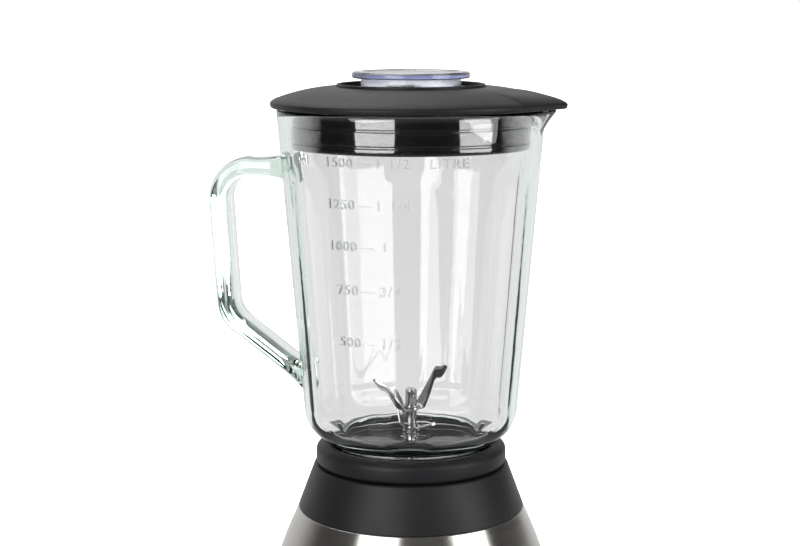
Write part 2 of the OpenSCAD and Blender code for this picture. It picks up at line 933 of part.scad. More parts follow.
module jug_ring() {
    bulge = 5;
    color(black)
        rotate_extrude() {
            difference() {
                union() {
                    band(neck_r + 0.5, ring_foot_r, ring_z, ring_top - bulge);
                    band(neck_r + 0.5, ring_r - bulge, ring_z, ring_top);
                    translate([ring_r - bulge, ring_top - bulge]) circle(r = bulge);
                    translate([ring_r - bulge, ring_z + bulge]) circle(r = bulge);
                    band(neck_r + 0.5, ring_r, ring_z + bulge, ring_top - bulge);
                    band(spigot_in_r, spigot_r, ring_z - spigot_h, unit_z);
                    band(neck_r + 0.3, spigot_r, unit_z - 1, ring_z + 2);
                }
                band(0, neck_r + 0.5, unit_z, ring_top + 1);
                band(0, spigot_r - spigot_wall, ring_z - spigot_h - 1, ring_flange_z);
            }
        }
}

module blade_base() {
    skirt_in = unit_plug_r - 2.6;
    color([0.1, 0.1, 0.11])
        rotate_extrude() polygon([
            [hub_r, unit_top], [unit_plug_r - 2, unit_top], [unit_plug_r, unit_top - 2],
            [unit_plug_r, gasket_z], [neck_r, gasket_z], [neck_r, unit_z],
            [skirt_in, unit_z], [skirt_in, unit_top - unit_t], [hub_r, unit_top - unit_t]
        ]);
}

module jug_gasket() {
    color([0.85, 0.85, 0.82]) tube(neck_r - 0.3, unit_plug_r + 0.2, gasket_z, neck_z);
}

module spindle_hub() {
    low = unit_top - unit_t - 5;
    color(steel)
        difference() {
            union() {
                tube(hub_r, 0, low, hub_top);
                tube(hub_r + 2.5, 0, unit_top - unit_t - 2, unit_top - unit_t);
            }
            tube(spindle_r + run, 0, low - 1, hub_top + 1);
            tube(spindle_r + 1.2, 0, hub_top - 2, hub_top + 1);
        }
}

module hub_nut() {
    color(steel)
        difference() {
            tube(hub_nut_r / cos(30), 0, unit_top, unit_top + hub_nut_h, $fn = 6);
            tube(hub_r, 0, unit_top - 1, unit_top + hub_nut_h + 1);
        }
}

module spindle_seal() {
    color(rubber) tube(spindle_r + 1.2, spindle_r + run, hub_top - 2, hub_top);
}

// ---- Blades ----

// A strip with both its arms bent up from a flat middle, cut to two tapered leaves
module blade(bend_a, bend_b, length, z) {
    root = blade_root;
    hub_d = blade_w * 1.24;
    a = [cos(bend_a), sin(bend_a)];
    b = [cos(bend_b), sin(bend_b)];
    across_a = [-a[1], a[0]] * blade_t;
    across_b = [-b[1], b[0]] * blade_t;
    tip_a = [root, 0] + a * length;
    tip_b = [root, 0] + b * length;
    leaf = [
        [0, -blade_w / 2], [root, -blade_w / 2], [root + length * 0.5, -blade_w * 0.44],
        [root + length, blade_w * 0.12], [root + length, blade_w * 0.36],
        [root + length * 0.3, blade_w / 2], [0, blade_w / 2]
    ];
    difference() {
        translate([0, 0, z]) intersection() {
            rotate([90, 0, 0]) translate([0, 0, -hub_d]) linear_extrude(2 * hub_d)
                polygon([
                    [root, 0], tip_a, tip_a + across_a,
                    [root - blade_t * tan(bend_a / 2), blade_t],
                    [blade_t * tan(bend_b / 2) - root, blade_t],
                    [-tip_b[0] - across_b[0], tip_b[1] + across_b[1]], [-tip_b[0], tip_b[1]],
                    [-root, 0]
                ]);
            translate([0, 0, -1]) linear_extrude(length + 10) {
                circle(r = hub_d / 2);
                turned([0, 180]) polygon(leaf);
            }
        }
        tube(spindle_r, 0, z - 1, z + blade_t + 1);
    }
}

module lower_blade() {
    color(steel)
        rotate([0, 0, lower_turn])
            blade(lower_bend, steep_bend, (blade_reach - blade_root) / cos(lower_bend), lower_blade_z);
}

module upper_blade() {
    color(steel)
        rotate([0, 0, upper_turn])
            blade(upper_bend, upper_bend, (blade_reach - blade_root) / cos(upper_bend), upper_blade_z);
}

module blade_spacer() {
    color(steel) tube(dome_r, spindle_r, lower_blade_z + blade_t, upper_blade_z);
}

module blade_washer() {
    color(steel) tube(washer_r, spindle_r, upper_blade_z + blade_t, dome_z);
}

module dome_nut() {
    color(steel)
        difference() {
            union() {
                tube(dome_r, 0, dome_z, dome_z + dome_h - 1);
                translate([0, 0, dome_z + dome_h - 1])
                    cylinder(r1 = dome_r, r2 = dome_r - 1, h = 1);
            }
            tube(spindle_r, 0, dome_z - 1, spindle_top);
        }
}

module blade_spindle() {
    color(steel) tube(spindle_r, 0, coupling_top - 3, spindle_top);
}

module driven_coupling() {
    top = coupling_top + 2.6;
    color([0.12, 0.12, 0.13])
        difference() {
            union() {
                translate([-driven_sq / 2, -driven_sq / 2, coupling_floor + 0.8])
                    cube([driven_sq, driven_sq, coupling_top - coupling_floor]);
                tube(10, 0, coupling_top + 0.6, top);
            }
            tube(spindle_r, 0, coupling_top - 3, top + 1);
        }
}

// ---- Lid ----

// The dome between the rim and the filler well, as an arc that bulges a little
module dome_2d() {
    a = [well_r + well_rim, lid_top];
    b = [lid_r, lid_z + rim_h];
    span = norm(b - a);
    bulge = 1.3;
    arc = (span * span / 4 + bulge * bulge) / (2 * bulge);
    mid = (a + b) / 2;
    across = [-(b - a)[1], (b - a)[0]] / span;
    centre = mid - across * (across[1] > 0 ? 1 : -1) * (arc - bulge);
    intersection() {
        translate(centre) circle(r = arc, $fn = fine);
        polygon([a + [0, 3], b + [0, 3], b, b - [0, rim_h], a - [0, rim_h + lid_rise], a]);
    }
}

module lid_cover() {
    color(black)
        difference() {
            union() {
                rotate_extrude() {
                    difference() {
                        union() {
                            dome_2d();
                            band(filler_r, well_r + well_rim, lid_z, lid_top);
                        }
                        band(0, well_r, well_z, lid_top + 1);
                        polygon([
                            [filler_r, lid_z - 1], [plug_r - lid_t, lid_z - 1],
                            [plug_r - lid_t, lid_z + rim_h + 1], [well_r, well_z - lid_t],
                            [filler_r, well_z - lid_t]
                        ]);
                    }
                    band(filler_r, filler_r + lid_t, well_z - filler_neck_h, well_z - 1);
                    band(plug_r - lid_t, plug_r, lid_z - plug_depth, lid_z + 1);
                }
                beak();
            }
            tube(filler_r, 0, lid_z - 30, lid_top + 10);
        }
}

// The beak that covers the spout: a blunt point whose top falls away in two flats
module beak() {
    ridge_x = lid_r - 16;
    ridge_z = lid_z + rim_h + 5.2;
    fall = atan((ridge_z - lid_z - rim_h - 0.3) / (beak_tip - ridge_x));
    root = (lid_r - 1.5) * [cos(spout_half + 8), sin(spout_half + 8)];
    nose = [beak_tip - beak_nose_r * 0.55, beak_nose_r * 0.84];
    intersection() {
        translate([0, 0, lid_z]) linear_extrude(20) {
            polygon([
                [ridge_x, 0], root, nose, [nose[0], -nose[1]], [root[0], -root[1]]
            ]);
            translate([beak_tip - beak_nose_r, 0]) circle(r = beak_nose_r);
        }
        translate([ridge_x, 0, ridge_z])
            rotate([beak_lean, fall, 0]) translate([-40, -90, -60]) cube([140, 180, 60]);
        translate([ridge_x, 0, ridge_z])
            rotate([-beak_lean, fall, 0]) translate([-40, -90, -60]) cube([140, 180, 60]);
    }
}

module lid_seal() {
    groove = 0.5;
    low = lid_z - plug_depth + 0.5;
    color(rubber)
        rotate_extrude() difference() {
            band(plug_r, seal_r, low, lid_z - 1);
            for (z = [low + 4, low + 12.5]) band(seal_r - groove, seal_r + 1, z, z + 0.8);
        }
}

module filler_cap() {
    color([0.85, 0.87, 0.92, 0.4])
        difference() {
            union() {
                translate([0, 0, cap_disc_z]) {
                    cylinder(r1 = cap_disc_r - 0.8, r2 = cap_disc_r, h = 1);
                    translate([0, 0, 1]) cylinder(r = cap_disc_r, h = cap_disc_t - 2);
                    translate([0, 0, cap_disc_t - 1])
                        cylinder(r1 = cap_disc_r, r2 = cap_disc_r - 1.5, h = 1);
                }
                tube(cap_skirt_r, 0, cap_low_z, cap_disc_z + 1);
                tube(cap_step_r, 0, cap_step_z, cap_step_z + cap_step_h);
            }
            tube(cap_skirt_r - cap_wall, 0, cap_low_z - 1, cap_disc_z + 0.6);
            around([45, 135, 225, 315], cap_step_r)
                tube(5, 0, cap_step_z - 1, cap_step_z + cap_step_h + 1);
        }
}

steel_shell();
top_collar();
base_ring();
bottom_plate();
foot_ring();
tie_screws();
cord_gland();
terminal_block();
suppressor_capacitor();
wiring();
dial_bezel();
switch_body();
interlock_switch();
interlock_pin();
speed_knob();
knob_trim();
knob_pointer();
switch_shaft();
stator_core();
field_coils();
upper_bracket();
lower_bracket();
motor_bolts();
bearings();
mount_pads();
mount_screws();
brush_holders();
carbon_brushes();
brush_springs();
motor_shaft();
armature_core();
armature_windings();
commutator();
cooling_fan();
drive_coupling();
glass_jug();
jug_ring();
blade_base();
jug_gasket();
spindle_hub();
hub_nut();
spindle_seal();
blade_spindle();
lower_blade();
upper_blade();
blade_spacer();
blade_washer();
dome_nut();
driven_coupling();
lid_cover();
lid_seal();
filler_cap();
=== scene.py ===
import json
import math

import bmesh
import bpy
from bpy.props import FloatProperty, FloatVectorProperty, IntProperty, PointerProperty
from mathutils import Matrix, Vector


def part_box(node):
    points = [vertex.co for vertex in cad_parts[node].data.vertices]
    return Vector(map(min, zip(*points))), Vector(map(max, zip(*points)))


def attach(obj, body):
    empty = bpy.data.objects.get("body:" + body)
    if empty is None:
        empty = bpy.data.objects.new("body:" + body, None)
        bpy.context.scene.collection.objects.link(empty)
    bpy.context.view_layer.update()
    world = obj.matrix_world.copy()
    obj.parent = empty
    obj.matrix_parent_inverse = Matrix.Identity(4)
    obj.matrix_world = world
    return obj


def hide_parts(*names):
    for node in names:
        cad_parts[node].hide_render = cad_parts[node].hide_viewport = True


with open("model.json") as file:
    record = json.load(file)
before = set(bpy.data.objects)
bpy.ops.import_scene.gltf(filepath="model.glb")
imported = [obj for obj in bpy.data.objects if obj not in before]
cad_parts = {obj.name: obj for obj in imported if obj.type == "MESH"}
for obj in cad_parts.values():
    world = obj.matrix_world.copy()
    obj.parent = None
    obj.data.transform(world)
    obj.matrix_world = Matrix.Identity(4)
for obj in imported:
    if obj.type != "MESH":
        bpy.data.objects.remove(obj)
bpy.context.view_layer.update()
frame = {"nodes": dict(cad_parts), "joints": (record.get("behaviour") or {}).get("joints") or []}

bl_info = {
    "name": "Countertop blender builder",
    "version": (1, 0, 0),
    "blender": (4, 5, 0),
    "location": "3D View > Sidebar > Blender jug",
    "description": "Builds a glass jug blender around its packed frame",
    "category": "Add Mesh",
}

MM = 0.001
TAU = 2 * math.pi
WELD = 2e-6  # points closer than this are one point

SEAT_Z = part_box("top_collar")[1].z
RING_LOW, RING_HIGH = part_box("jug_ring")
JUG_LOW, JUG_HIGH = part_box("glass_jug")
LID_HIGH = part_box("lid_cover")[1]
CAP_LOW, CAP_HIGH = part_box("filler_cap")
SHELL_LOW, SHELL_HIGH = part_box("steel_shell")
BAND_LOW, BAND_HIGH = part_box("base_ring")
FOOT_LOW, FOOT_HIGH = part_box("foot_ring")
DISH_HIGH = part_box("blade_base")[1]
KNOB_JOINT = next(j for j in frame["joints"] if j["name"] == "knob_turn")
KNOB_AXIS = Vector(KNOB_JOINT["axis"])
KNOB_FOOT = Vector(KNOB_JOINT["pos_m"])


# ---- Sizes and colours that a user may change ----


def length(name, description, default):
    """A length in metres that a user may change."""
    return FloatProperty(
        name=name, description=description, default=default, unit="LENGTH", precision=5
    )


def angle(name, description, degrees):
    """An angle that a user may change, given in degrees."""
    return FloatProperty(
        name=name, description=description, default=math.radians(degrees), subtype="ANGLE"
    )


def colour(name, description, rgb):
    """A colour that a user may change."""
    return FloatVectorProperty(
        name=name, description=description, default=rgb, subtype="COLOR", size=3, min=0, max=1
    )


class JugSizes(bpy.types.PropertyGroup):
    rim_radius: length("Rim radius", "Outer radius of the glass at its rim", 72.7 * MM)
    low_radius: length("Low radius", "Outer radius above the bottom corner", 59.0 * MM)
    wall: length("Wall", "Thickness of the glass wall", 5.5 * MM)
    corner: length("Bottom corner", "Outer radius of the bottom corner", 21 * MM)
    foot_z: length("Foot height", "Height of the glass's underside", RING_HIGH.z - 3.8 * MM)
    neck_radius: length("Neck radius", "Outer radius of the neck", 44 * MM)
    flute_depth: length("Flute depth", "Depth of a flute's hollow", 2.3 * MM)
    flute_half: length("Flute half width", "Half the width of a flute", 14 * MM)
    flute_margin_top: length("Flute top", "Rim to a flute's straight part", 42 * MM)
    flute_margin_low: length("Flute bottom", "Underside to a flute's straight part", 20 * MM)
    spout_reach: length("Spout reach", "How far the lip stands out", 7.4 * MM)
    spout_drop: length("Spout drop", "Depth of the spout below the rim", 12.5 * MM)
    spout_half: angle("Spout half angle", "Half the angle that the spout takes", 28)
    handle_width: length("Handle width", "Width across the palm", 21.6 * MM)
    handle_thickness: length("Handle thickness", "Thickness seen from the side", 10.8 * MM)
    handle_bend: length("Handle bend", "Inner radius of the handle's bends", 13 * MM)


class LidSizes(bpy.types.PropertyGroup):
    radius: length("Lid radius", "Radius of the lid's round edge", 76 * MM)
    rim_height: length("Rim height", "Height of the lid's edge", 3.3 * MM)
    beak_half: angle("Beak half angle", "Where the beak's sides leave the edge", 28)
    nose_radius: length("Nose radius", "Rounding of the beak's point", 6 * MM)
    hole_radius: length("Hole radius", "Radius of the filler hole", 27.6 * MM)
    well_radius: length("Well radius", "Radius of the recess around the cap", 38.5 * MM)
    cap_radius: length("Cap radius", "Radius of the cap's disc", 32 * MM)


class BladeSizes(bpy.types.PropertyGroup):
    root: length("Root", "Half length of the flat middle", 6.5 * MM)
    reach: length("Reach", "Radius that the tips sweep", 26 * MM)
    width: length("Width", "Width of an arm at its root", 9 * MM)
    thickness: length("Thickness", "Thickness of the steel", 1.5 * MM)
    upper_bend: angle("Upper bend", "Rise of the upper blade's arms", 46)
    lower_bend: angle("Lower bend", "Rise of the lower blade's flatter arm", 20)
    steep_bend: angle("Steep bend", "Rise of the lower blade's steeper arm", 58)
    upper_turn: angle("Upper turn", "Where the upper blade points", 51)
    lower_turn: angle("Lower turn", "Where the lower blade points", -49)


class HousingSizes(bpy.types.PropertyGroup):
    sheet: length("Sheet", "Thickness of the steel housing", 1.2 * MM)
    collar_top: length("Collar top radius", "Radius of the collar at its top", 53.5 * MM)
    socket_radius: length("Socket radius", "Radius of the jug's socket", 47 * MM)
    knob_radius: length("Knob radius", "Radius of the speed knob", 21 * MM)
    knob_depth: length("Knob depth", "Depth of the speed knob", 16 * MM)
    bezel_radius: length("Bezel radius", "Radius of the knob's surround", 26.5 * MM)
    grips: IntProperty(name="Grips", description="Grooves round the knob", default=24, min=6)


class Colours(bpy.types.PropertyGroup):
    plastic: colour("Matt plastic", "Lid, collar, ring and base band", (0.009, 0.009, 0.0105))
    gloss: colour("Gloss plastic", "Lid plug and blade dish", (0.003, 0.003, 0.0036))
    steel: colour("Brushed steel", "Housing", (0.42, 0.405, 0.385))
    polished: colour("Polished steel", "Blades and nuts", (0.50, 0.495, 0.49))
    glass: colour("Glass", "Tint of the glass's surface", (1.0, 0.955, 0.975))
    glass_depth: colour("Glass depth", "Colour that thick glass takes", (0.30, 0.85, 0.60))
    clear: colour("Clear plastic", "Filler cap", (0.97, 0.975, 1.0))
    rubber: colour("Rubber", "Foot, gland and seals", (0.02, 0.02, 0.021))
    floor: colour("Floor", "Surface under the object", (0.93, 0.93, 0.93))


# ---- Modelling helpers ----


def unselect():
    """Leaves nothing selected, in object mode."""
    if bpy.context.object and bpy.context.object.mode != "OBJECT":
        bpy.ops.object.mode_set(mode="OBJECT")
    for thing in bpy.context.selected_objects:
        thing.select_set(False)


def pick(piece):
    """Selects one piece alone and makes it active."""
    unselect()
    piece.select_set(True)
    bpy.context.view_layer.objects.active = piece


def arc(centre, radius, start, end, steps):
    """Points of an arc in a section, from one angle in degrees to another."""
    points = []
    for i in range(steps + 1):
        a = math.radians(start + (end - start) * i / steps)
        points.append((centre[0] + radius * math.cos(a), centre[1] + radius * math.sin(a)))
    return points


def eased(corners, closed=True, steps=5):
    """A section's outline in metres: each corner is (radius, height, fillet) in mm."""
    count, outline = len(corners), []
    for i, corner in enumerate(corners):
        here = Vector(corner[:2])
        fillet = corner[2] if len(corner) > 2 else 0
        if not fillet or (not closed and i in (0, count - 1)):
            outline.append(here * MM)
            continue
        before = Vector(corners[i - 1][:2]) - here
        after = Vector(corners[(i + 1) % count][:2]) - here
        half = before.angle(after) / 2
        cut = min(fillet / math.tan(half), before.length * 0.49, after.length * 0.49)
        radius = cut * math.tan(half)
        middle = (before.normalized() + after.normalized()).normalized()
        centre = here + middle * (radius / math.sin(half))
        first = here + before.normalized() * cut - centre
        last = here + after.normalized() * cut - centre
        sweep = first.angle_signed(last)
        for k in range(steps + 1):
            turn = Matrix.Rotation(-sweep * k / steps, 2)
            outline.append((centre + turn @ first) * MM)
    return outline


def spun(name, outline, steps=160, closed=True):
    """A turned piece: its section is drawn point by point, then spun about the upright axis."""
    unselect()
    bpy.ops.mesh.primitive_plane_add(size=MM)
    piece = bpy.context.object
    piece.name = piece.data.name = name
    bpy.ops.object.mode_set(mode="EDIT")
    bpy.ops.mesh.merge(type="CENTER")
    bpy.ops.transform.translate(value=(outline[0][0], 0, outline[0][1]))
    for a, b in zip(outline, outline[1:]):
        step = (b[0] - a[0], 0, b[1] - a[1])
        bpy.ops.mesh.extrude_region_move(TRANSFORM_OT_translate={"value": step})
    if closed:
        shape = bmesh.from_edit_mesh(piece.data)
        shape.verts.ensure_lookup_table()
        shape.verts[0].select = True
        bmesh.update_edit_mesh(piece.data)
        bpy.ops.mesh.edge_face_add()
    bpy.ops.mesh.select_all(action="SELECT")
    bpy.ops.mesh.spin(steps=steps, angle=TAU, center=(0, 0, 0), axis=(0, 0, 1))
    tidy_mesh(piece)
    return piece


def tidy_mesh(piece):
    """Welds doubles and turns every face outwards."""
    pick(piece)
    bpy.ops.object.mode_set(mode="EDIT")
    bpy.ops.mesh.select_all(action="SELECT")
    bpy.ops.mesh.remove_doubles(threshold=WELD)
    bpy.ops.mesh.normals_make_consistent(inside=False)
    bpy.ops.object.mode_set(mode="OBJECT")


def smooth(piece, degrees=35):
    """Shades a piece smooth, except across edges sharper than this."""
    pick(piece)
    bpy.ops.object.shade_smooth_by_angle(angle=math.radians(degrees))


def settle(piece):
    """Puts the piece's place into its mesh."""
    pick(piece)
    bpy.ops.object.transform_apply(location=True, rotation=True, scale=True)


def bevelled(piece, width, segments=3, limit=30):
    """Rounds a piece's sharp edges."""
    pick(piece)
    bevel = piece.modifiers.new("Bevel", "BEVEL")
    bevel.width, bevel.segments = width, segments
    bevel.limit_method, bevel.angle_limit = "ANGLE", math.radians(limit)
    bpy.ops.object.modifier_apply(modifier=bevel.name)


def joined(piece, other, operation):
    """Adds another piece to this one, or cuts it away, and removes the other."""
    pick(piece)
    tool = piece.modifiers.new("Join", "BOOLEAN")
    tool.operation, tool.solver, tool.object = operation, "EXACT", other
    bpy.ops.object.modifier_apply(modifier=tool.name)
    bpy.data.objects.remove(other)


def rod(radius, depth, location=(0, 0, 0), rotation=(0, 0, 0), sides=64):
    """A plain rod, to be cut or shaped further."""
    unselect()
    bpy.ops.mesh.primitive_cylinder_add(
        vertices=sides, radius=radius, depth=depth, location=location, rotation=rotation)
    return bpy.context.object


def block(size, location):
    """A plain block, to be shaped further."""
    unselect()
    bpy.ops.mesh.primitive_cube_add(size=1)
    made = bpy.context.object
    made.scale, made.location = size, location
    settle(made)
    return made


def lettering(word, size, extrude, spacing=1.0, curve=12):
    """A word as a thin solid, centred on the origin."""
    unselect()
    bpy.ops.object.text_add()
    text = bpy.context.object
    text.data.body, text.data.size, text.data.extrude = word, size, extrude
    text.data.space_character, text.data.resolution_u = spacing, curve
    text.data.align_x, text.data.align_y = "CENTER", "CENTER"
    bpy.ops.object.convert(target="MESH")
    return text


def gathered(name, pieces):
    """Makes one object of several."""
    pick(pieces[0])
    for piece in pieces:
        piece.select_set(True)
    bpy.ops.object.join()
    made = bpy.context.object
    made.name = made.data.name = name
    return made


def from_faces(name, points, faces):
    """A piece from its points and faces, for shapes that no operator draws."""
    mesh = bpy.data.meshes.new(name)
    mesh.from_pydata(points, [], faces)
    piece = bpy.data.objects.new(name, mesh)
    bpy.context.collection.objects.link(piece)
    tidy_mesh(piece)
    return piece


def looped(name, rows, across, along):
    """A skin over rows of points, wrapped across a row and along the rows where asked."""
    count, wide = len(rows), len(rows[0])
    points = [p for row in rows for p in row]
    faces = []
    for i in range(count if along else count - 1):
        for j in range(wide if across else wide - 1):
            a, b = i * wide, (i + 1) % count * wide
            k = (j + 1) % wide
            faces.append((a + j, a + k, b + k, b + j))
    if not along:
        faces.append(tuple(range(wide)))
        faces.append(tuple(range((count - 1) * wide, count * wide)))
    return from_faces(name, points, faces)


def finish_piece(piece, body, finish, slot, *nodes, crease=35):
    """Gives a piece its finish, hangs it on the body that it rides on, and hides the nodes whose
    place it takes.
    """
    if crease:
        smooth(piece, crease)
    piece.data.materials.clear()
    piece.data.materials.append(finish)
    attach(piece, body)
    if nodes:
        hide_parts(*nodes)
    return piece


def turned_piece(name, body, finish, stands_for, corners, steps=160, crease=35):
    """A turned piece that takes one node's place."""
    piece = spun(name, eased(corners), steps)
    return finish_piece(piece, body, FINISHES[finish], stands_for, stands_for, crease=crease)


def on_knob_axis(piece):
    """Moves a piece turned about the upright axis onto the knob's axis."""
    tilt = Vector((0, 0, 1)).rotation_difference(KNOB_AXIS)
    piece.matrix_world = Matrix.Translation(KNOB_FOOT) @ tilt.to_matrix().to_4x4()
    settle(piece)


# ---- Node helpers and shared effects ----


def node(tree, kind, links=None, **values):
    """Adds a node, sets its properties and sockets, and links what feeds it."""
    made = tree.nodes.new(kind)
    for key, value in values.items():
        setattr(made, key, value)
    for key, value in (links or {}).items():
        socket = made.inputs[key]
        if isinstance(value, bpy.types.NodeSocket):
            tree.links.new(value, socket)
        else:
            socket.default_value = value
    return made


def effect(name, inputs, outputs):
    """A shared effect: an empty node group with named inputs and outputs."""
    group = bpy.data.node_groups.new(name, "ShaderNodeTree")
    for label, kind, default in inputs:
        made = group.interface.new_socket(name=label, in_out="INPUT", socket_type=kind)
        if default is not None:
            made.default_value = default
    for label, kind in outputs:
        group.interface.new_socket(name=label, in_out="OUTPUT", socket_type=kind)
    return group, group.nodes.new("NodeGroupInput"), group.nodes.new("NodeGroupOutput")


def moulded_grain():
    """Fine pits of a moulded surface, with broad patches of slightly other gloss."""
    group, given, out = effect(
        "Moulded grain",
        [("Vector", "NodeSocketVector", None), ("Grain", "NodeSocketFloat", 2200.0),
         ("Patches", "NodeSocketFloat", 30.0)],
        [("Height", "NodeSocketFloat"), ("Patch", "NodeSocketFloat")],
    )
    fine = node(group, "ShaderNodeTexNoise", {
        "Vector": given.outputs["Vector"], "Scale": given.outputs["Grain"],
        "Detail": 2.0, "Roughness": 0.6})
    broad = node(group, "ShaderNodeTexNoise", {
        "Vector": given.outputs["Vector"], "Scale": given.outputs["Patches"],
        "Detail": 4.0, "Roughness": 0.55})
    group.links.new(fine.outputs["Fac"], out.inputs["Height"])
    group.links.new(broad.outputs["Fac"], out.inputs["Patch"])
    return group


def turned_lines():
    """Fine lines that run round the upright axis, broken into streaks."""
    group, given, out = effect(
        "Turned lines",
        [("Vector", "NodeSocketVector", None), ("Density", "NodeSocketFloat", 4000.0),
         ("Streak", "NodeSocketFloat", 3.0)],
        [("Height", "NodeSocketFloat"), ("Streaks", "NodeSocketFloat")],
    )
    flat = node(group, "ShaderNodeVectorMath", {0: given.outputs["Vector"], 1: (1, 1, 0)},
                operation="MULTIPLY")
    ray = node(group, "ShaderNodeVectorMath", {0: flat.outputs["Vector"]},
               operation="NORMALIZE")
    far = node(group, "ShaderNodeVectorMath", {
        0: ray.outputs["Vector"], "Scale": given.outputs["Streak"]}, operation="SCALE")
    parts = node(group, "ShaderNodeSeparateXYZ", {"Vector": given.outputs["Vector"]})
    rise = node(group, "ShaderNodeMath", {
        0: parts.outputs["Z"], 1: given.outputs["Density"]}, operation="MULTIPLY")
    lift = node(group, "ShaderNodeCombineXYZ", {"Z": rise.outputs["Value"]})
    place = node(group, "ShaderNodeVectorMath", {
        0: far.outputs["Vector"], 1: lift.outputs["Vector"]}, operation="ADD")
    lines = node(group, "ShaderNodeTexNoise", {
        "Vector": place.outputs["Vector"], "Scale": 1.0, "Detail": 5.0, "Roughness": 0.72})
    slow = node(group, "ShaderNodeVectorMath", {
        0: place.outputs["Vector"], 1: (1.5, 1.5, 0.06)}, operation="MULTIPLY")
    bands = node(group, "ShaderNodeTexNoise", {
        "Vector": slow.outputs["Vector"], "Scale": 1.0, "Detail": 3.0, "Roughness": 0.6})
    group.links.new(lines.outputs["Fac"], out.inputs["Height"])
    group.links.new(bands.outputs["Fac"], out.inputs["Streaks"])
    return group


def ground_lines():
    """Straight grinding lines along one direction of the given vector."""
    group, given, out = effect(
        "Ground lines",
        [("Vector", "NodeSocketVector", None), ("Stretch", "NodeSocketVector", None)],
        [("Height", "NodeSocketFloat")],
    )
    place = node(group, "ShaderNodeVectorMath", {
        0: given.outputs["Vector"], 1: given.outputs["Stretch"]}, operation="MULTIPLY")
    lines = node(group, "ShaderNodeTexNoise", {
        "Vector": place.outputs["Vector"], "Scale": 1.0, "Detail": 4.0, "Roughness": 0.7})
    group.links.new(lines.outputs["Fac"], out.inputs["Height"])
    return group


def spread(tree, source, low, high):
    """Maps a mask onto a small range of values."""
    made = node(tree, "ShaderNodeMapRange", {
        "Value": source, "From Min": 0.3, "From Max": 0.7, "To Min": low, "To Max": high})
    return made.outputs["Result"]


def tinted(tree, source, rgb, change):
    """A colour that varies a little about its own value."""
    dark = tuple(c * (1 - change) for c in rgb) + (1,)
    light = tuple(min(1, c * (1 + change)) for c in rgb) + (1,)
    made = tree.nodes.new("ShaderNodeMix")
    made.data_type = "RGBA"
    tree.links.new(source, made.inputs[0])
    made.inputs[6].default_value, made.inputs[7].default_value = dark, light
    return made.outputs[2]


def blank(name, **sockets):
    """A material with only its surface shader, whose plain sockets are set."""
    made = bpy.data.materials.new(name)
    made.use_nodes = True
    tree = made.node_tree
    shader = tree.nodes["Principled BSDF"]
    for key, value in sockets.items():
        shader.inputs[key.replace("_", " ")].default_value = value
    where = tree.nodes.new("ShaderNodeTexCoord").outputs["Object"]
    return made, tree, shader, where


def bumped(tree, shader, height, strength, distance):
    """Lets a height pattern roughen the shader's surface."""
    bump = node(tree, "ShaderNodeBump", {
        "Height": height, "Strength": strength, "Distance": distance})
    tree.links.new(bump.outputs["Normal"], shader.inputs["Normal"])


def grained(name, rgb, low, high, grain=2200.0, depth=0.00004, strength=0.5, patches=30.0,
            change=0.18, **sockets):
    """Moulded plastic, rubber, cast metal and the like."""
    made, tree, shader, where = blank(name, **sockets)
    group = node(tree, "ShaderNodeGroup", {
        "Vector": where, "Grain": grain, "Patches": patches}, node_tree=EFFECTS["grain"])
    patch = group.outputs["Patch"]
    tree.links.new(tinted(tree, patch, rgb, change), shader.inputs["Base Color"])
    tree.links.new(spread(tree, patch, low, high), shader.inputs["Roughness"])
    bumped(tree, shader, group.outputs["Height"], strength, depth)
    return made


def lined(name, rgb, low, high, density=4000.0, streak=3.0, depth=0.00001, strength=0.4,
          change=0.1, **sockets):
    """Metal brushed or turned round the upright axis."""
    made, tree, shader, where = blank(name, Metallic=1.0, **sockets)
    group = node(tree, "ShaderNodeGroup", {
        "Vector": where, "Density": density, "Streak": streak}, node_tree=EFFECTS["turned"])
    tree.links.new(tinted(tree, group.outputs["Height"], rgb, change),
                   shader.inputs["Base Color"])
    tree.links.new(spread(tree, group.outputs["Streaks"], low, high),
                   shader.inputs["Roughness"])
    bumped(tree, shader, group.outputs["Height"], strength, depth)
    return made


def ground(name, rgb, low, high, stretch, depth=0.00001, strength=0.35, change=0.08,
           **sockets):
    """Metal ground or drawn along one direction."""
    made, tree, shader, where = blank(name, Metallic=1.0, **sockets)
    group = node(tree, "ShaderNodeGroup", {"Vector": where, "Stretch": stretch},
                 node_tree=EFFECTS["ground"])
    lines = group.outputs["Height"]
    tree.links.new(tinted(tree, lines, rgb, change), shader.inputs["Base Color"])
    tree.links.new(spread(tree, lines, low, high), shader.inputs["Roughness"])
    bumped(tree, shader, lines, strength, depth)
    return made


def see_through(name, rgb, depth_rgb, density, ior, waviness, ripple=60.0, haze=0.0):
    """Clear glass or plastic with a faint wave in its surface and colour in its depth."""
    made, tree, shader, where = blank(
        name, Metallic=0.0, Transmission_Weight=1.0, IOR=ior, Roughness=0.0)
    shader.inputs["Base Color"].default_value = tuple(rgb) + (1,)
    group = node(tree, "ShaderNodeGroup", {
        "Vector": where, "Grain": ripple, "Patches": 25.0}, node_tree=EFFECTS["grain"])
    tree.links.new(spread(tree, group.outputs["Patch"], haze, haze + 0.012),
                   shader.inputs["Roughness"])
    bumped(tree, shader, group.outputs["Height"], 0.35, waviness)
    inside = node(tree, "ShaderNodeVolumeAbsorption", {
        "Color": tuple(depth_rgb) + (1,), "Density": density})
    out = tree.nodes["Material Output"]
    tree.links.new(inside.outputs["Volume"], out.inputs["Volume"])
    return made


EFFECTS = {}
FINISHES = {}


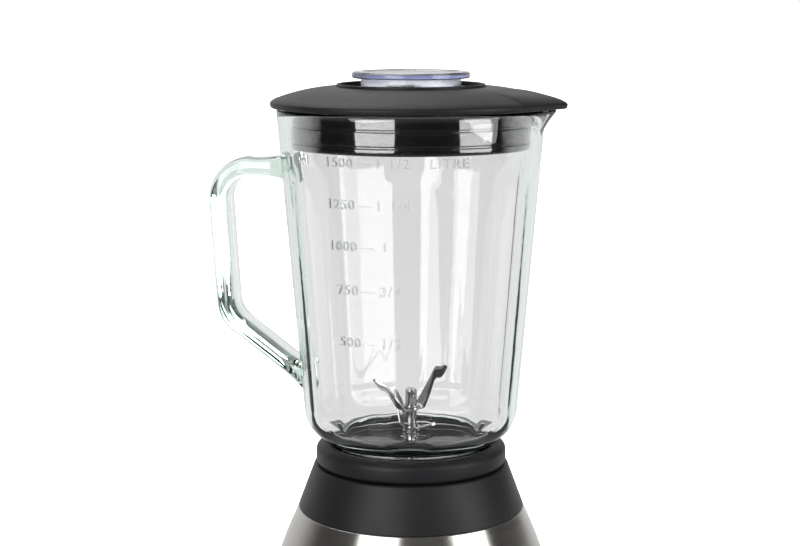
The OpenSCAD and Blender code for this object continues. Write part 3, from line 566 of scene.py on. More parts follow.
def make_finishes():
    """Builds the shared effects and every finish."""
    c = bpy.context.scene.blender_colours
    EFFECTS["grain"] = moulded_grain()
    EFFECTS["turned"] = turned_lines()
    EFFECTS["ground"] = ground_lines()
    f = FINISHES
    f["plastic"] = grained("Matt black plastic", c.plastic, 0.42, 0.52, grain=2600.0,
                           depth=0.00005, strength=0.35, change=0.10,
                           Specular_IOR_Level=0.24)
    f["gloss"] = grained("Gloss black plastic", c.gloss, 0.05, 0.10, grain=90.0,
                         depth=0.00003, strength=0.12, IOR=2.0, Coat_Weight=1.0)
    f["dish"] = grained("Smooth black dish", c.gloss, 0.02, 0.05, grain=40.0,
                        depth=0.00003, strength=0.10, IOR=1.5)
    f["bezel"] = grained("Satin black plastic", c.gloss, 0.18, 0.26, grain=500.0,
                         depth=0.00002, strength=0.2)
    f["steel"] = lined("Brushed steel", c.steel, 0.22, 0.26, density=5200.0, streak=2.5,
                       depth=0.000006, strength=0.25, change=0.07, Anisotropic=0.88,
                       Anisotropic_Rotation=0.25)
    f["turned"] = lined("Turned steel", c.polished, 0.10, 0.18, density=9000.0, streak=1.0,
                        depth=0.000006, strength=0.3)
    f["blade"] = ground("Ground blade steel", c.polished, 0.10, 0.20,
                        (260.0, 260.0, 2600.0), depth=0.000008)
    f["nut"] = ground("Polished nut", c.polished, 0.05, 0.11, (900.0, 900.0, 300.0),
                      depth=0.000004, strength=0.2)
    f["glass"] = see_through("Pressed glass", c.glass, c.glass_depth, 14.0, 1.5, 0.00012)
    f["clear"] = see_through("Clear plastic", c.clear, (0.62, 0.66, 0.95), 30.0, 1.49,
                             0.00004, ripple=80.0, haze=0.16)
    f["raised"] = grained("Raised glass marks", (0.93, 0.96, 0.94), 0.10, 0.18,
                          grain=900.0, strength=0.2, Transmission_Weight=0.96, IOR=1.3)
    f["rubber"] = grained("Black rubber", c.rubber, 0.6, 0.75, grain=900.0, strength=0.4)
    f["silicone"] = grained("Pale silicone", (0.7, 0.7, 0.67), 0.45, 0.6, grain=700.0,
                            strength=0.2)
    f["white"] = grained("White print", (0.85, 0.85, 0.83), 0.35, 0.5, grain=1200.0,
                         strength=0.2, change=0.04)
    f["zinc"] = ground("Zinc plate", (0.62, 0.62, 0.6), 0.22, 0.36, (400.0, 400.0, 400.0))
    f["chrome"] = lined("Polished trim", (0.78, 0.78, 0.79), 0.05, 0.10, density=2500.0,
                        depth=0.000003, strength=0.2)
    f["iron"] = lined("Varnished laminations", (0.22, 0.22, 0.24), 0.35, 0.5,
                      density=1900.0, streak=0.2, depth=0.0002, strength=0.8)
    f["copper"] = lined("Enamelled copper wire", (0.62, 0.26, 0.12), 0.22, 0.34,
                        density=1300.0, streak=0.3, depth=0.0004, strength=1.0)
    f["bars"] = lined("Turned copper", (0.72, 0.38, 0.22), 0.18, 0.3, density=6000.0)
    f["cast"] = grained("Cast aluminium", (0.55, 0.55, 0.57), 0.35, 0.5, grain=420.0,
                        depth=0.0002, strength=0.5, Metallic=1.0)
    f["brass"] = ground("Pressed brass", (0.70, 0.52, 0.22), 0.25, 0.36,
                        (300.0, 1500.0, 1500.0))
    f["carbon"] = grained("Pressed carbon", (0.03, 0.03, 0.032), 0.5, 0.7, grain=1800.0)
    f["cream"] = grained("Cream moulding", (0.68, 0.65, 0.56), 0.35, 0.5, grain=900.0)
    f["amber"] = grained("Amber moulding", (0.6, 0.42, 0.06), 0.2, 0.32, grain=600.0)
    f["red"] = grained("Red moulding", (0.32, 0.03, 0.03), 0.3, 0.45, grain=900.0)
    f["wire"] = grained("Blue wire", (0.03, 0.06, 0.34), 0.3, 0.42, grain=700.0)


# ---- The jug ----

FLUTES = 7  # places round the jug; the one behind the handle stays plain
EASE_OUTSIDE, EASE_INSIDE = 0.3, 0.5  # how softly a flute runs out into the wall
INSIDE_SHARE = 0.7  # a flute's depth inside, as a share of its depth outside
LIP_ROUND = 2.4 * MM  # rounding of the rim
INNER_CORNER = 14 * MM  # radius of the bottom corner inside
BOTTOM = 6 * MM  # thickness of the glass's bottom
UPPER_BEND_DROP = 51.8 * MM  # rim down to the centre of the handle's upper bend
LOWER_BEND_LIFT = 77 * MM  # underside up to the centre of its lower bend
LOWER_BEND_IN = 3.5 * MM  # how much nearer the lower bend is to the wall
LOWER_ARM = Vector((-20 * MM, -48.5 * MM))  # where the lower arm heads, from that bend's height
HANDLE_HALF = 5.5 * MM  # half the handle's thickness, where its line bends
ROOT_SUNK = 3.2 * MM  # how far the handle's root goes into the wall
ARM_NORMAL = 33  # the point, partway round the lower bend, whose normal the arm keeps


def jug_taper(s):
    """How much the straight wall widens over its height."""
    return (s.rim_radius - s.low_radius) / (JUG_HIGH.z - s.foot_z - s.corner)


def jug_wall(s, z):
    """Outer radius of the plain glass at a height."""
    low = s.foot_z + s.corner
    if z >= low:
        return s.low_radius + jug_taper(s) * (z - low)
    return s.low_radius - s.corner + math.sqrt(max(0, s.corner ** 2 - (low - z) ** 2))


def flute_hollow(s, turn, z, ease):
    """How deep in a flute a place on the wall is, from 0 to 1."""
    step = TAU / FLUTES
    nearest = round((turn - math.pi) / step)
    if nearest % FLUTES == 0:
        return 0.0
    aside = abs(turn - math.pi - nearest * step) * jug_wall(s, z)
    top = JUG_HIGH.z - s.flute_margin_top
    low = s.foot_z + s.flute_margin_low
    beyond = max(0, z - top, low - z)
    q = 1 - (aside ** 2 + beyond ** 2) / s.flute_half ** 2
    return 0.5 * (q + math.sqrt(q * q + ease * ease))


def spout_push(s, turn, z):
    """How far the spout carries the wall outwards at a place near the rim."""
    turn = abs((turn + math.pi) % TAU - math.pi)
    if turn >= s.spout_half:
        return 0.0
    reach = s.rim_radius + s.spout_reach
    side = s.rim_radius * Vector((math.cos(s.spout_half), math.sin(s.spout_half)))
    across = Vector((side.y, reach - side.x)).normalized()
    edge = across.x * reach / (across.x * math.cos(turn) + across.y * math.sin(turn))
    share = 1 - turn / s.spout_half
    drop = s.spout_drop * share
    rise = min(1, max(0, (z - (JUG_HIGH.z - drop)) / max(drop, 0.1 * MM)))
    rise = rise * (0.6 + 0.4 * rise)
    return (edge - s.rim_radius) * rise


def jug_section(s):
    """The glass's section as (radius, height, side): 1 outside, -1 inside, 0 plain."""
    rows = []
    neck_low, top = JUG_LOW.z, JUG_HIGH.z
    half, inner_corner = LIP_ROUND, INNER_CORNER
    bore = s.neck_radius - s.wall
    for x, z in arc((s.neck_radius - 0.8 * MM, neck_low + 0.8 * MM), 0.8 * MM, -90, 0, 3):
        rows.append((x, z, 0))
    rows.append((s.neck_radius, s.foot_z - 1 * MM, 0))
    for i in range(1, 17):
        z = s.foot_z + s.corner * (1 - math.cos(math.pi / 2 * i / 16))
        rows.append((max(jug_wall(s, z), s.neck_radius), z, 1))
    low, high, count = s.foot_z + s.corner, top - 26 * MM, 64
    for i in range(1, count + 1):
        z = low + (high - low) * i / count
        rows.append((jug_wall(s, z), z, 1))
    count = 22
    for i in range(1, count + 1):
        z = high + (top - half - high) * i / count
        rows.append((jug_wall(s, z), z, 1))
    mid = s.rim_radius - half
    for x, z in arc((mid, top - half), half, 20, 90, 5):
        rows.append((x, z, 1))
    inner = s.rim_radius - s.wall + half
    for x, z in arc((inner, top - half), half, 90, 170, 5):
        rows.append((x, z, -1))
    for i in range(1, 21):
        z = top - half - (top - half - high) * i / 20
        rows.append((jug_wall(s, z) - s.wall, z, -1))
    inside_low = s.foot_z + BOTTOM + inner_corner
    count = 60
    for i in range(1, count + 1):
        z = high + (inside_low - high) * i / count
        rows.append((jug_wall(s, z) - s.wall, z, -1))
    wide = jug_wall(s, inside_low) - s.wall - inner_corner
    for x, z in arc((wide, inside_low), inner_corner, -8, -90, 9):
        rows.append((x, z, -1 if z > inside_low - BOTTOM else 0))
    for x, z in arc((bore + 1.5 * MM, s.foot_z + 4.5 * MM), 1.5 * MM, 90, 180, 4):
        rows.append((x, z, 0))
    for x, z in arc((bore + 0.6 * MM, neck_low + 0.6 * MM), 0.6 * MM, 180, 270, 3):
        rows.append((x, z, 0))
    return rows


def jug_point(s, turn, radius, z, side):
    """A point of the glass, with the flutes and the spout worked in."""
    if side > 0:
        radius -= s.flute_depth * flute_hollow(s, turn, z, EASE_OUTSIDE)
    elif side < 0:
        radius -= INSIDE_SHARE * s.flute_depth * flute_hollow(s, turn, z, EASE_INSIDE)
    if side:
        radius += spout_push(s, turn, z)
    return radius * math.cos(turn), radius * math.sin(turn), z


def handle_path(s):
    """The handle's centre line from its upper root to its lower one, with its normals."""
    reach = -JUG_LOW.x - s.handle_bend - 2 * HANDLE_HALF
    first = Vector((-reach, JUG_HIGH.z - UPPER_BEND_DROP))
    second = Vector((LOWER_BEND_IN - reach, s.foot_z + LOWER_BEND_LIFT))
    third = Vector((LOWER_ARM.x, s.foot_z + LOWER_BEND_LIFT + LOWER_ARM.y))
    away = s.handle_bend + HANDLE_HALF
    points = []
    upper_root = -(jug_wall(s, first.y + away) - ROOT_SUNK)
    for i in range(7):
        points.append((Vector((upper_root + (first.x - upper_root) * i / 7, first.y + away)),
                       Vector((0, 1))))
    slant = math.degrees(math.atan2(second.y - first.y, second.x - first.x)) + 270
    fall = math.degrees(math.atan2(third.y - second.y, third.x - second.x)) + 270
    for centre, start, stop in ((first, 90, slant), (second, slant, fall)):
        for k in range(17):
            turn = math.radians(start + (stop - start) * k / 16)
            out = Vector((math.cos(turn), math.sin(turn)))
            points.append((centre + out * away, out))
    end = points[-1][0]
    run = (third - second).normalized()
    root = end.copy()
    while -root.x > jug_wall(s, root.y) - 3.0 * MM:
        root += run * 0.5 * MM
    for i in range(1, 11):
        points.append((end + (root - end) * i / 10, points[ARM_NORMAL][1]))
    return points


def reach_wall(s, point, run):
    """How far a point must go along a direction to be sunk in the glass's wall."""
    far = 0.0
    while far < 60 * MM:
        x, y, z = point + run * far
        if math.hypot(x, y) < jug_wall(s, z) - 2.6 * MM:
            break
        far += 0.2 * MM
    return far


def handle_piece(s):
    """The glass handle: a rounded bar that widens where it meets the wall."""
    path = handle_path(s)
    count, blend = 36, 9
    rows = []
    total = [0.0]
    for a, b in zip(path, path[1:]):
        total.append(total[-1] + (b[0] - a[0]).length)
    for (centre, out), done in zip(path, total):
        near = min(done, total[-1] - done)
        flare = max(0, 1 - near / (15 * MM)) ** 2
        deep = s.handle_thickness / 2 * (1 + 0.5 * flare)
        wide = s.handle_width / 2 * (1 + 0.35 * flare)
        row = []
        for k in range(count):
            a = TAU * k / count
            x = math.copysign(abs(math.cos(a)) ** 0.6, math.cos(a)) * deep
            y = math.copysign(abs(math.sin(a)) ** 0.6, math.sin(a)) * wide
            place = centre + out * x
            row.append(Vector((place.x, y, place.y)))
        rows.append(row)
    for order, sign in ((rows, 1), (rows[::-1], -1)):
        ends = path[:2] if sign > 0 else path[:-3:-1]
        way = (ends[0][0] - ends[1][0]).normalized()
        run = Vector((way.x, 0, way.y))
        start = [p - run * 12 * MM for p in order[0]]
        slides = [reach_wall(s, p, run) - 12 * MM for p in start]
        for i in range(blend):
            share = (1 - i / blend) ** 1.6
            for k, slide in enumerate(slides):
                order[i][k] = order[i][k] + run * slide * share
    return looped("handle_bar", [[tuple(p) for p in row] for row in rows], True, False)


class OBJECT_OT_blender_glass_jug(bpy.types.Operator):
    """Model the fluted glass jug with its spout and handle"""

    bl_idname = "object.blender_glass_jug"
    bl_label = "Glass jug"

    def execute(self, context):
        s = context.scene.blender_jug
        steps = FLUTES * 44
        section = jug_section(s)
        rows = []
        for radius, z, side in section:
            rows.append([jug_point(s, TAU * k / steps, radius, z, side)
                         for k in range(steps)])
        jug = looped("jug_glass", rows, True, True)
        joined(jug, handle_piece(s), "UNION")
        finish_piece(jug, "jug", FINISHES["glass"], "glass_jug", "glass_jug", crease=50)
        return {"FINISHED"}


SCALE_SIZE, SCALE_RAISE, SCALE_SPACING = 7.2 * MM, 0.5 * MM, 1.22
SCALE_ROWS = [  # height in mm, then each word with its angle round the jug in degrees
    (346.3, [("ml", -38.6), ("1500", -18.6), ("\u2014", -6.8), ("1 1/2", 5.2),
             ("LITRE", 29.0)]),
    (324.8, [("1250", -18.6), ("\u2014", -6.8), ("1 1/4", 5.2)]),
    (303.1, [("1000", -18.6), ("\u2014", -6.8), ("1", 1.5)]),
    (280.0, [("750", -17.2), ("\u2014", -6.8), ("3/4", 3.4)]),
    (252.2, [("500", -17.2), ("\u2014", -6.8), ("1/2", 3.4)]),
]


class OBJECT_OT_blender_jug_scale(bpy.types.Operator):
    """Raise the measuring scale on the front of the glass"""

    bl_idname = "object.blender_jug_scale"
    bl_label = "Jug scale"

    def execute(self, context):
        s = context.scene.blender_jug
        made = []
        for height, words in SCALE_ROWS:
            for word, place in words:
                text = lettering(word, SCALE_SIZE, SCALE_RAISE, SCALE_SPACING, 3)
                for point in text.data.vertices:
                    z = height * MM + point.co.y
                    turn = math.radians(place - 90) + point.co.x / jug_wall(s, z)
                    hollow = flute_hollow(s, turn % TAU, z, EASE_OUTSIDE)
                    radius = jug_wall(s, z) - s.flute_depth * hollow + point.co.z
                    point.co = (radius * math.cos(turn), radius * math.sin(turn), z)
                made.append(text)
        scale = gathered("jug_scale", made)
        scale.location = (0, 0, 0)
        tidy_mesh(scale)
        finish_piece(scale, "jug", FINISHES["raised"], "glass_jug", crease=25)
        return {"FINISHED"}


class OBJECT_OT_blender_jug_ring(bpy.types.Operator):
    """Turn the black ring and the dish that hold the glass"""

    bl_idname = "object.blender_jug_ring"
    bl_label = "Jug ring and dish"

    def execute(self, context):
        low, seam, top = RING_LOW.z / MM, SEAT_Z / MM + 0.3, RING_HIGH.z / MM
        turned_piece("jug_ring_black", "jug", "plastic", "jug_ring", [
            (44.5, 175.5, 0), (44.5, top - 5.0, 0), (45.4, top - 3.9, 0.6),
            (47.5, top - 3.9, 1.0), (52.5, top - 5.6, 6.0), (52.5, seam, 5.2),
            (46.9, seam, 0.4), (46.5, low, 0.8), (43.5, low, 0.8), (43.5, 170.5, 0),
            (36.0, 170.5, 0.4), (36.0, 174.0, 0.3), (44.3, 174.0, 0),
        ])
        top = DISH_HIGH.z / MM
        turned_piece("blade_dish", "jug", "dish", "blade_base", [
            (5.4, top, 0), (8.5, top, 0), (11, top - 0.6, 2), (31, top - 0.6, 2),
            (34, top, 2), (36.6, top, 1.4), (37.5, top - 1.8, 0.8), (37.5, 176.5, 0),
            (44.0, 176.5, 0.4), (44.0, 174.0, 0.4), (34.9, 174.0, 0), (34.9, 182.0, 0.5),
            (5.4, 182.0, 0),
        ])
        return {"FINISHED"}


# ---- Blades and their nuts ----

BLADE_BEND = 3 * MM  # radius of the fold between the middle and an arm
BLADE_POINT = 1.5 * MM  # how far an arm stops short of its full length


def blade_piece(name, b, z, turn, bends):
    """A strip with a ground edge, bent up on both sides of its flat middle."""
    rows, stations = [], []
    run = (b.reach - b.root) / math.cos(bends[0]) - BLADE_POINT  # the same for both arms
    hub = b.width * 0.62
    for side, bend in ((-1, bends[1]), (1, bends[0])):
        marks = [x * b.root / 6 for x in range(0 if side > 0 else 1, 6)]
        marks += [b.root + bend * BLADE_BEND * k / 6 for k in range(7)]
        start = marks[-1]
        marks += [start + run * k / 14 for k in range(1, 15)]
        stations += [(side, bend, m) for m in (marks if side > 0 else marks[::-1])]
    for side, bend, m in stations:
        past = m - b.root
        if past <= 0:
            x, h, tilt, share = m, 0.0, 0.0, 0.0
        elif past < bend * BLADE_BEND:
            tilt = past / BLADE_BEND
            x = b.root + BLADE_BEND * math.sin(tilt)
            h = BLADE_BEND * (1 - math.cos(tilt))
            share = 0.0
        else:
            tilt = bend
            rest = past - bend * BLADE_BEND
            x = b.root + BLADE_BEND * math.sin(bend) + rest * math.cos(bend)
            h = BLADE_BEND * (1 - math.cos(bend)) + rest * math.sin(bend)
            share = rest / run
        blunt = b.width / 2
        back = blunt * (1 - 0.28 * share ** 2)
        front = blunt * (1 - 1.22 * share ** 1.3)
        if m < hub:
            round_half = math.sqrt(hub * hub - m * m)
            back, front = max(back, round_half), max(front, round_half)
        grind = min(2.2 * MM, (front + back) * 0.45) * (1 if past > 0 else 0.05)
        out = Vector((side * math.cos(tilt), 0, math.sin(tilt)))
        up = Vector((-side * math.sin(tilt), 0, math.cos(tilt)))
        centre = Vector((side * x, 0, h))
        t = b.thickness
        row = []
        for y, lift in ((back, 0.15), (back, 0.85), (back - 0.3 * MM, 1.0),
                        (-front + grind, 1.0), (-front, 0.28), (-front, 0.12),
                        (-front + 0.3 * MM, 0.0), (back - 0.3 * MM, 0.0)):
            p = centre + up * (t * lift) + Vector((0, y * side, 0))
            row.append(tuple(p))
        if side < 0:
            row = [row[k] for k in (5, 4, 3, 2, 1, 0, 7, 6)]
        rows.append(row)
    blade = looped(name, rows, True, False)
    place = Matrix.Translation((0, 0, z)) @ Matrix.Rotation(turn, 4, "Z")
    blade.data.transform(place)
    return blade


def hexagon(name, across, low, high, bore):
    """A hexagonal nut with a chamfered top."""
    middle = (0, 0, (low + high) / 2)
    nut = rod(across / 2 / math.cos(math.pi / 6), high - low, middle, sides=6)
    nut.name = nut.data.name = name
    settle(nut)
    bevelled(nut, 0.45 * MM, 2)
    joined(nut, rod(bore, (high - low) * 3, middle), "DIFFERENCE")
    return nut


class OBJECT_OT_blender_blades(bpy.types.Operator):
    """Bend the two blades and turn the nuts that hold them"""

    bl_idname = "object.blender_blades"
    bl_label = "Blades"

    def execute(self, context):
        b = context.scene.blender_blades
        upper = blade_piece("blade_upper", b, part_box("upper_blade")[0].z, b.upper_turn,
                            (b.upper_bend, b.upper_bend))
        finish_piece(upper, "blades", FINISHES["blade"], "upper_blade", "upper_blade")
        lower = blade_piece("blade_lower", b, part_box("lower_blade")[0].z, b.lower_turn,
                            (b.lower_bend, b.steep_bend))
        finish_piece(lower, "blades", FINISHES["blade"], "lower_blade", "lower_blade")

        low, high = (corner.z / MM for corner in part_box("dome_nut"))
        outline = eased([(3.0, low, 0), (3.8, low, 0.2), (3.8, high - 1.2, 0.3),
                         (3.3, high - 0.9, 0.2), (3.3, high - 0.5, 0.4), (0, high, 0)],
                        closed=False)
        inside = eased([(0, high - 4.4, 0), (3.0, high - 4.4, 0)], closed=False)
        nut = spun("blade_dome_nut", outline + inside + outline[:1], 64, closed=False)
        finish_piece(nut, "blades", FINISHES["nut"], "dome_nut", "dome_nut")

        low, high = (corner.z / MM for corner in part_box("blade_washer"))
        turned_piece("blade_washer_steel", "blades", "nut", "blade_washer", [
            (3.0, low, 0), (5.3, low, 0.35), (5.3, high, 0.35), (3.0, high, 0)], 64)

        low, high = (corner.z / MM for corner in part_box("blade_spacer"))
        turned_piece("blade_spacer_steel", "blades", "nut", "blade_spacer", [
            (3.0, low, 0), (4.6, low, 0.2), (4.6, low + 1.6, 0.2), (3.8, low + 2.0, 0.2),
            (3.8, high - 1.2, 0.2), (4.4, high - 0.9, 0.2), (4.4, high, 0.2),
            (3.0, high, 0)], 64)

        low, high = (corner.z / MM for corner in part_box("spindle_hub"))
        turned_piece("spindle_hub_steel", "jug", "nut", "spindle_hub", [
            (3.05, low, 0), (5.4, low, 0.3), (5.4, 180.0, 0), (7.9, 180.0, 0.3),
            (7.9, 182.0, 0), (5.4, 182.0, 0), (5.4, high - 0.8, 0.5), (4.2, high, 0.3),
            (3.05, high, 0)], 64)

        low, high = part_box("hub_nut")
        nut = hexagon("hub_nut_steel", 13.1 * MM, low.z, high.z, 5.4 * MM)
        finish_piece(nut, "jug", FINISHES["nut"], "hub_nut", "hub_nut", crease=30)
        return {"FINISHED"}


# ---- Lid and filler cap ----

EDGE_DROP = 12.5  # lid's top down to its edge, in mm
WELL_DEPTH = 4  # depth of the recess around the cap, in mm
SHOULDER = 40.0  # radius where the dome starts, in mm
DOME_SWELL = 1.7  # how far the dome stands over a straight slope, in mm
BEAK_LIFT = 1.0 * MM  # height of the ridge along the beak
BEAK_INNER = 56 * MM  # radius where the beak starts to draw out
LUGS = 4  # feet round the cap


def lid_edge(s, turn):
    """Radius of the lid's edge: round, with two flat sides that meet in the beak."""
    turn = abs((turn + math.pi) % TAU - math.pi)
    if turn >= s.beak_half:
        return s.radius
    tip = s.radius / math.cos(s.beak_half)
    nose = s.nose_radius
    middle = tip - nose / math.cos(s.beak_half)
    touch = math.atan2(nose * math.sin(s.beak_half), middle + nose * math.cos(s.beak_half))
    if turn > touch:
        return s.radius / math.cos(s.beak_half - turn)
    across = middle * math.sin(turn)
    return middle * math.cos(turn) + math.sqrt(nose ** 2 - across ** 2)


def lid_section(s):
    top = LID_HIGH.z / MM
    low, well = top - EDGE_DROP, top - WELL_DEPTH
    edge = s.radius / MM
    rim = low + s.rim_height / MM
    a, b = Vector((SHOULDER, top - 1.5)), Vector((edge - 0.6, rim + 0.4))
    dome = []
    for i in range(1, 18):
        t = i / 18
        p = a.lerp(b, t)
        dome.append((p.x, p.y + 4 * DOME_SWELL * t * (1 - t), 0))
    hole, well_r = s.hole_radius / MM, s.well_radius / MM
    return eased(
        [(hole, well, 0.5), (well_r - 0.4, well, 0.7), (well_r, top, 0.9),
         (well_r + 1.5, top, 0.7), (well_r + 1.9, top - 1.35, 0.6),
         (SHOULDER, top - 1.5, 0.6)] + dome +
        [(edge, rim - 0.4, 1.6), (edge - 0.5, low, 0.9), (66.0, low, 0), (62.9, low, 0),
         (60.3, low + 2.4, 0), (SHOULDER, well - 2.6, 0), (hole + 2.5, well - 2.6, 0.4),
         (hole + 2.5, well - 14, 0.4), (hole, well - 14, 0.4)])


class OBJECT_OT_blender_lid(bpy.types.Operator):
    """Turn the domed lid, draw out its beak and turn the plug under it"""

    bl_idname = "object.blender_lid"
    bl_label = "Lid"

    def execute(self, context):
        s = context.scene.blender_lid
        lid = spun("lid_dome", lid_section(s), 288)
        rim = LID_HIGH.z - EDGE_DROP * MM + s.rim_height
        for point in lid.data.vertices:
            x, y, z = point.co
            radius, turn = math.hypot(x, y), math.atan2(y, x)
            if radius <= BEAK_INNER:
                continue
            share = min(1, (radius - BEAK_INNER) / (s.radius - BEAK_INNER))
            grown = radius + (lid_edge(s, turn) - s.radius) * share ** 1.4
            point.co.x, point.co.y = grown * math.cos(turn), grown * math.sin(turn)
            ridge = min(1, max(0, (s.beak_half - abs(turn)) / math.radians(3)))
            ridge = ridge * ridge * (3 - 2 * ridge)
            if z > rim - 2.0 * MM:
                point.co.z += BEAK_LIFT * ridge * math.sin(math.pi * share ** 1.4)
        finish_piece(lid, "lid", FINISHES["plastic"], "lid_cover", "lid_cover", crease=32)

        top = LID_HIGH.z / MM - EDGE_DROP
        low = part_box("lid_seal")[0].z / MM - 0.5
        turned_piece("lid_plug", "lid", "gloss", "lid_seal", [
            (62.9, top, 0), (64.4, top - 0.3, 0.3), (64.4, top - 7.6, 0.2),
            (63.9, top - 8.0, 0.2), (63.9, top - 8.8, 0.2), (64.7, top - 9.2, 0.3),
            (64.7, top - 16.0, 0.3), (64.0, top - 16.4, 0.2), (64.0, top - 17.2, 0.2),
            (64.9, top - 17.6, 0.3), (64.7, low + 0.6, 0.5), (64.0, low, 0.5),
            (60.4, low, 0.8), (60.4, top, 0)], 224, crease=30)
        return {"FINISHED"}


class OBJECT_OT_blender_filler_cap(bpy.types.Operator):
    """Turn the clear filler cap"""

    bl_idname = "object.blender_filler_cap"
    bl_label = "Filler cap"

    def execute(self, context):
        s = context.scene.blender_lid
        top, low, edge = CAP_HIGH.z / MM, CAP_LOW.z / MM, s.cap_radius / MM
        under = top - 3.6
        cap = spun("cap_clear", eased([
            (0, top - 0.5, 0), (20, top - 0.6, 0), (26.2, top - 0.8, 1.0),
            (27.4, top - 0.1, 0.6), (edge - 1.2, top - 0.1, 1.2), (edge, top - 1.0, 0.7),
            (edge, under + 0.7, 0.6), (edge - 0.9, under, 0.5), (27.1, under, 0.6),
            (27.1, low, 0.6), (25.1, low, 0.6), (25.1, under + 0.7, 1.0),
            (0, under + 0.9, 0)], closed=False), 160, closed=False)
        step = LID_HIGH.z - WELL_DEPTH * MM + 0.3 * MM
        middle = s.hole_radius
        for k in range(LUGS):
            lug = block((3.6 * MM, 22 * MM, 2.2 * MM), (middle, 0, step + 1.1 * MM))
            for point in lug.data.vertices:
                reach = 29.4 * MM if point.co.x > middle else 26.2 * MM
                turn = point.co.y / middle
                point.co.x, point.co.y = reach * math.cos(turn), reach * math.sin(turn)
            lug.data.transform(Matrix.Rotation(TAU * k / LUGS, 4, "Z"))
            joined(cap, lug, "UNION")
        finish_piece(cap, "cap", FINISHES["clear"], "filler_cap", "filler_cap", crease=30)
        return {"FINISHED"}


# ---- Housing ----

BELL_TOP = 62.5  # outer radius of the bell at its top, in mm
EDGE_BREAK = 0.35  # broken edge at the top of the sheet, in mm
KNOB_OPENING = 23.2 * MM


def housing_radius(z):
    """Radius of the bell at a height in mm."""
    low, high = SHELL_LOW.z / MM, SHELL_HIGH.z / MM
    base = SHELL_HIGH.x / MM
    sag, rise = base - BELL_TOP, high - low
    radius = (rise * rise + sag * sag) / (2 * sag)
    return base - radius + math.sqrt(radius * radius - (z - low) ** 2)


class OBJECT_OT_blender_collar(bpy.types.Operator):
    """Turn the black collar with the socket for the jug"""

    bl_idname = "object.blender_collar"
    bl_label = "Collar"

    def execute(self, context):
        s = context.scene.blender_housing
        top, foot = SEAT_Z / MM, SHELL_HIGH.z / MM
        socket, edge = s.socket_radius / MM, s.collar_top / MM
        floor = top - 13.5
        wide = housing_radius(foot)
        collar = spun("collar_black", eased([
            (socket, top, 0.9), (edge, top, 1.3), (wide + 0.1, foot + 0.1, 0.5),
            (wide - 1.6, foot, 0), (wide - 1.6, foot - 6, 0.4), (wide - 4, foot - 6, 0.4),
            (wide - 4, foot, 0.6), (edge - 2.6, top - 3.5, 0.6), (socket + 2, top - 3.5, 0.6),
            (socket + 2, floor - 3, 0.6), (17, floor - 3, 0.5), (17, floor + 2.5, 0.6),
            (19, floor + 2.5, 0.8), (19, floor, 0.8), (socket, floor, 1.2)]), 192)
        low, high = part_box("interlock_pin")
        middle = (low + high) / 2
        hole = rod((high.x - low.x) / 2 + 0.1 * MM, 30 * MM,
                   (middle.x, middle.y, floor * MM), sides=48)
        joined(collar, hole, "DIFFERENCE")
        finish_piece(collar, "base", FINISHES["plastic"], "top_collar", "top_collar")
        return {"FINISHED"}


class OBJECT_OT_blender_housing(bpy.types.Operator):
    """Spin the steel housing and cut the opening for the knob"""

    bl_idname = "object.blender_housing"
    bl_label = "Steel housing"

    def execute(self, context):
        s = context.scene.blender_housing
        low, high = SHELL_LOW.z / MM, SHELL_HIGH.z / MM
        sheet, count = s.sheet / MM, 56
        outer = [(housing_radius(low + (high - low) * i / count), low + (high - low) * i / count)
                 for i in range(count + 1)]
        brow = high - EDGE_BREAK
        outer[-1] = (outer[-1][0] - EDGE_BREAK, high)
        outer.insert(-1, (housing_radius(brow), brow))
        inner = [(r - sheet, z) for r, z in outer[::-1] if z != brow]
        outline = [Vector(p) * MM for p in outer + inner]
        shell = spun("housing_steel", outline, 224)
        cutter = rod(KNOB_OPENING, 24 * MM, sides=96)
        on_knob_axis(cutter)
        joined(shell, cutter, "DIFFERENCE")
        finish_piece(shell, "base", FINISHES["steel"], "steel_shell", "steel_shell", crease=30)
        return {"FINISHED"}


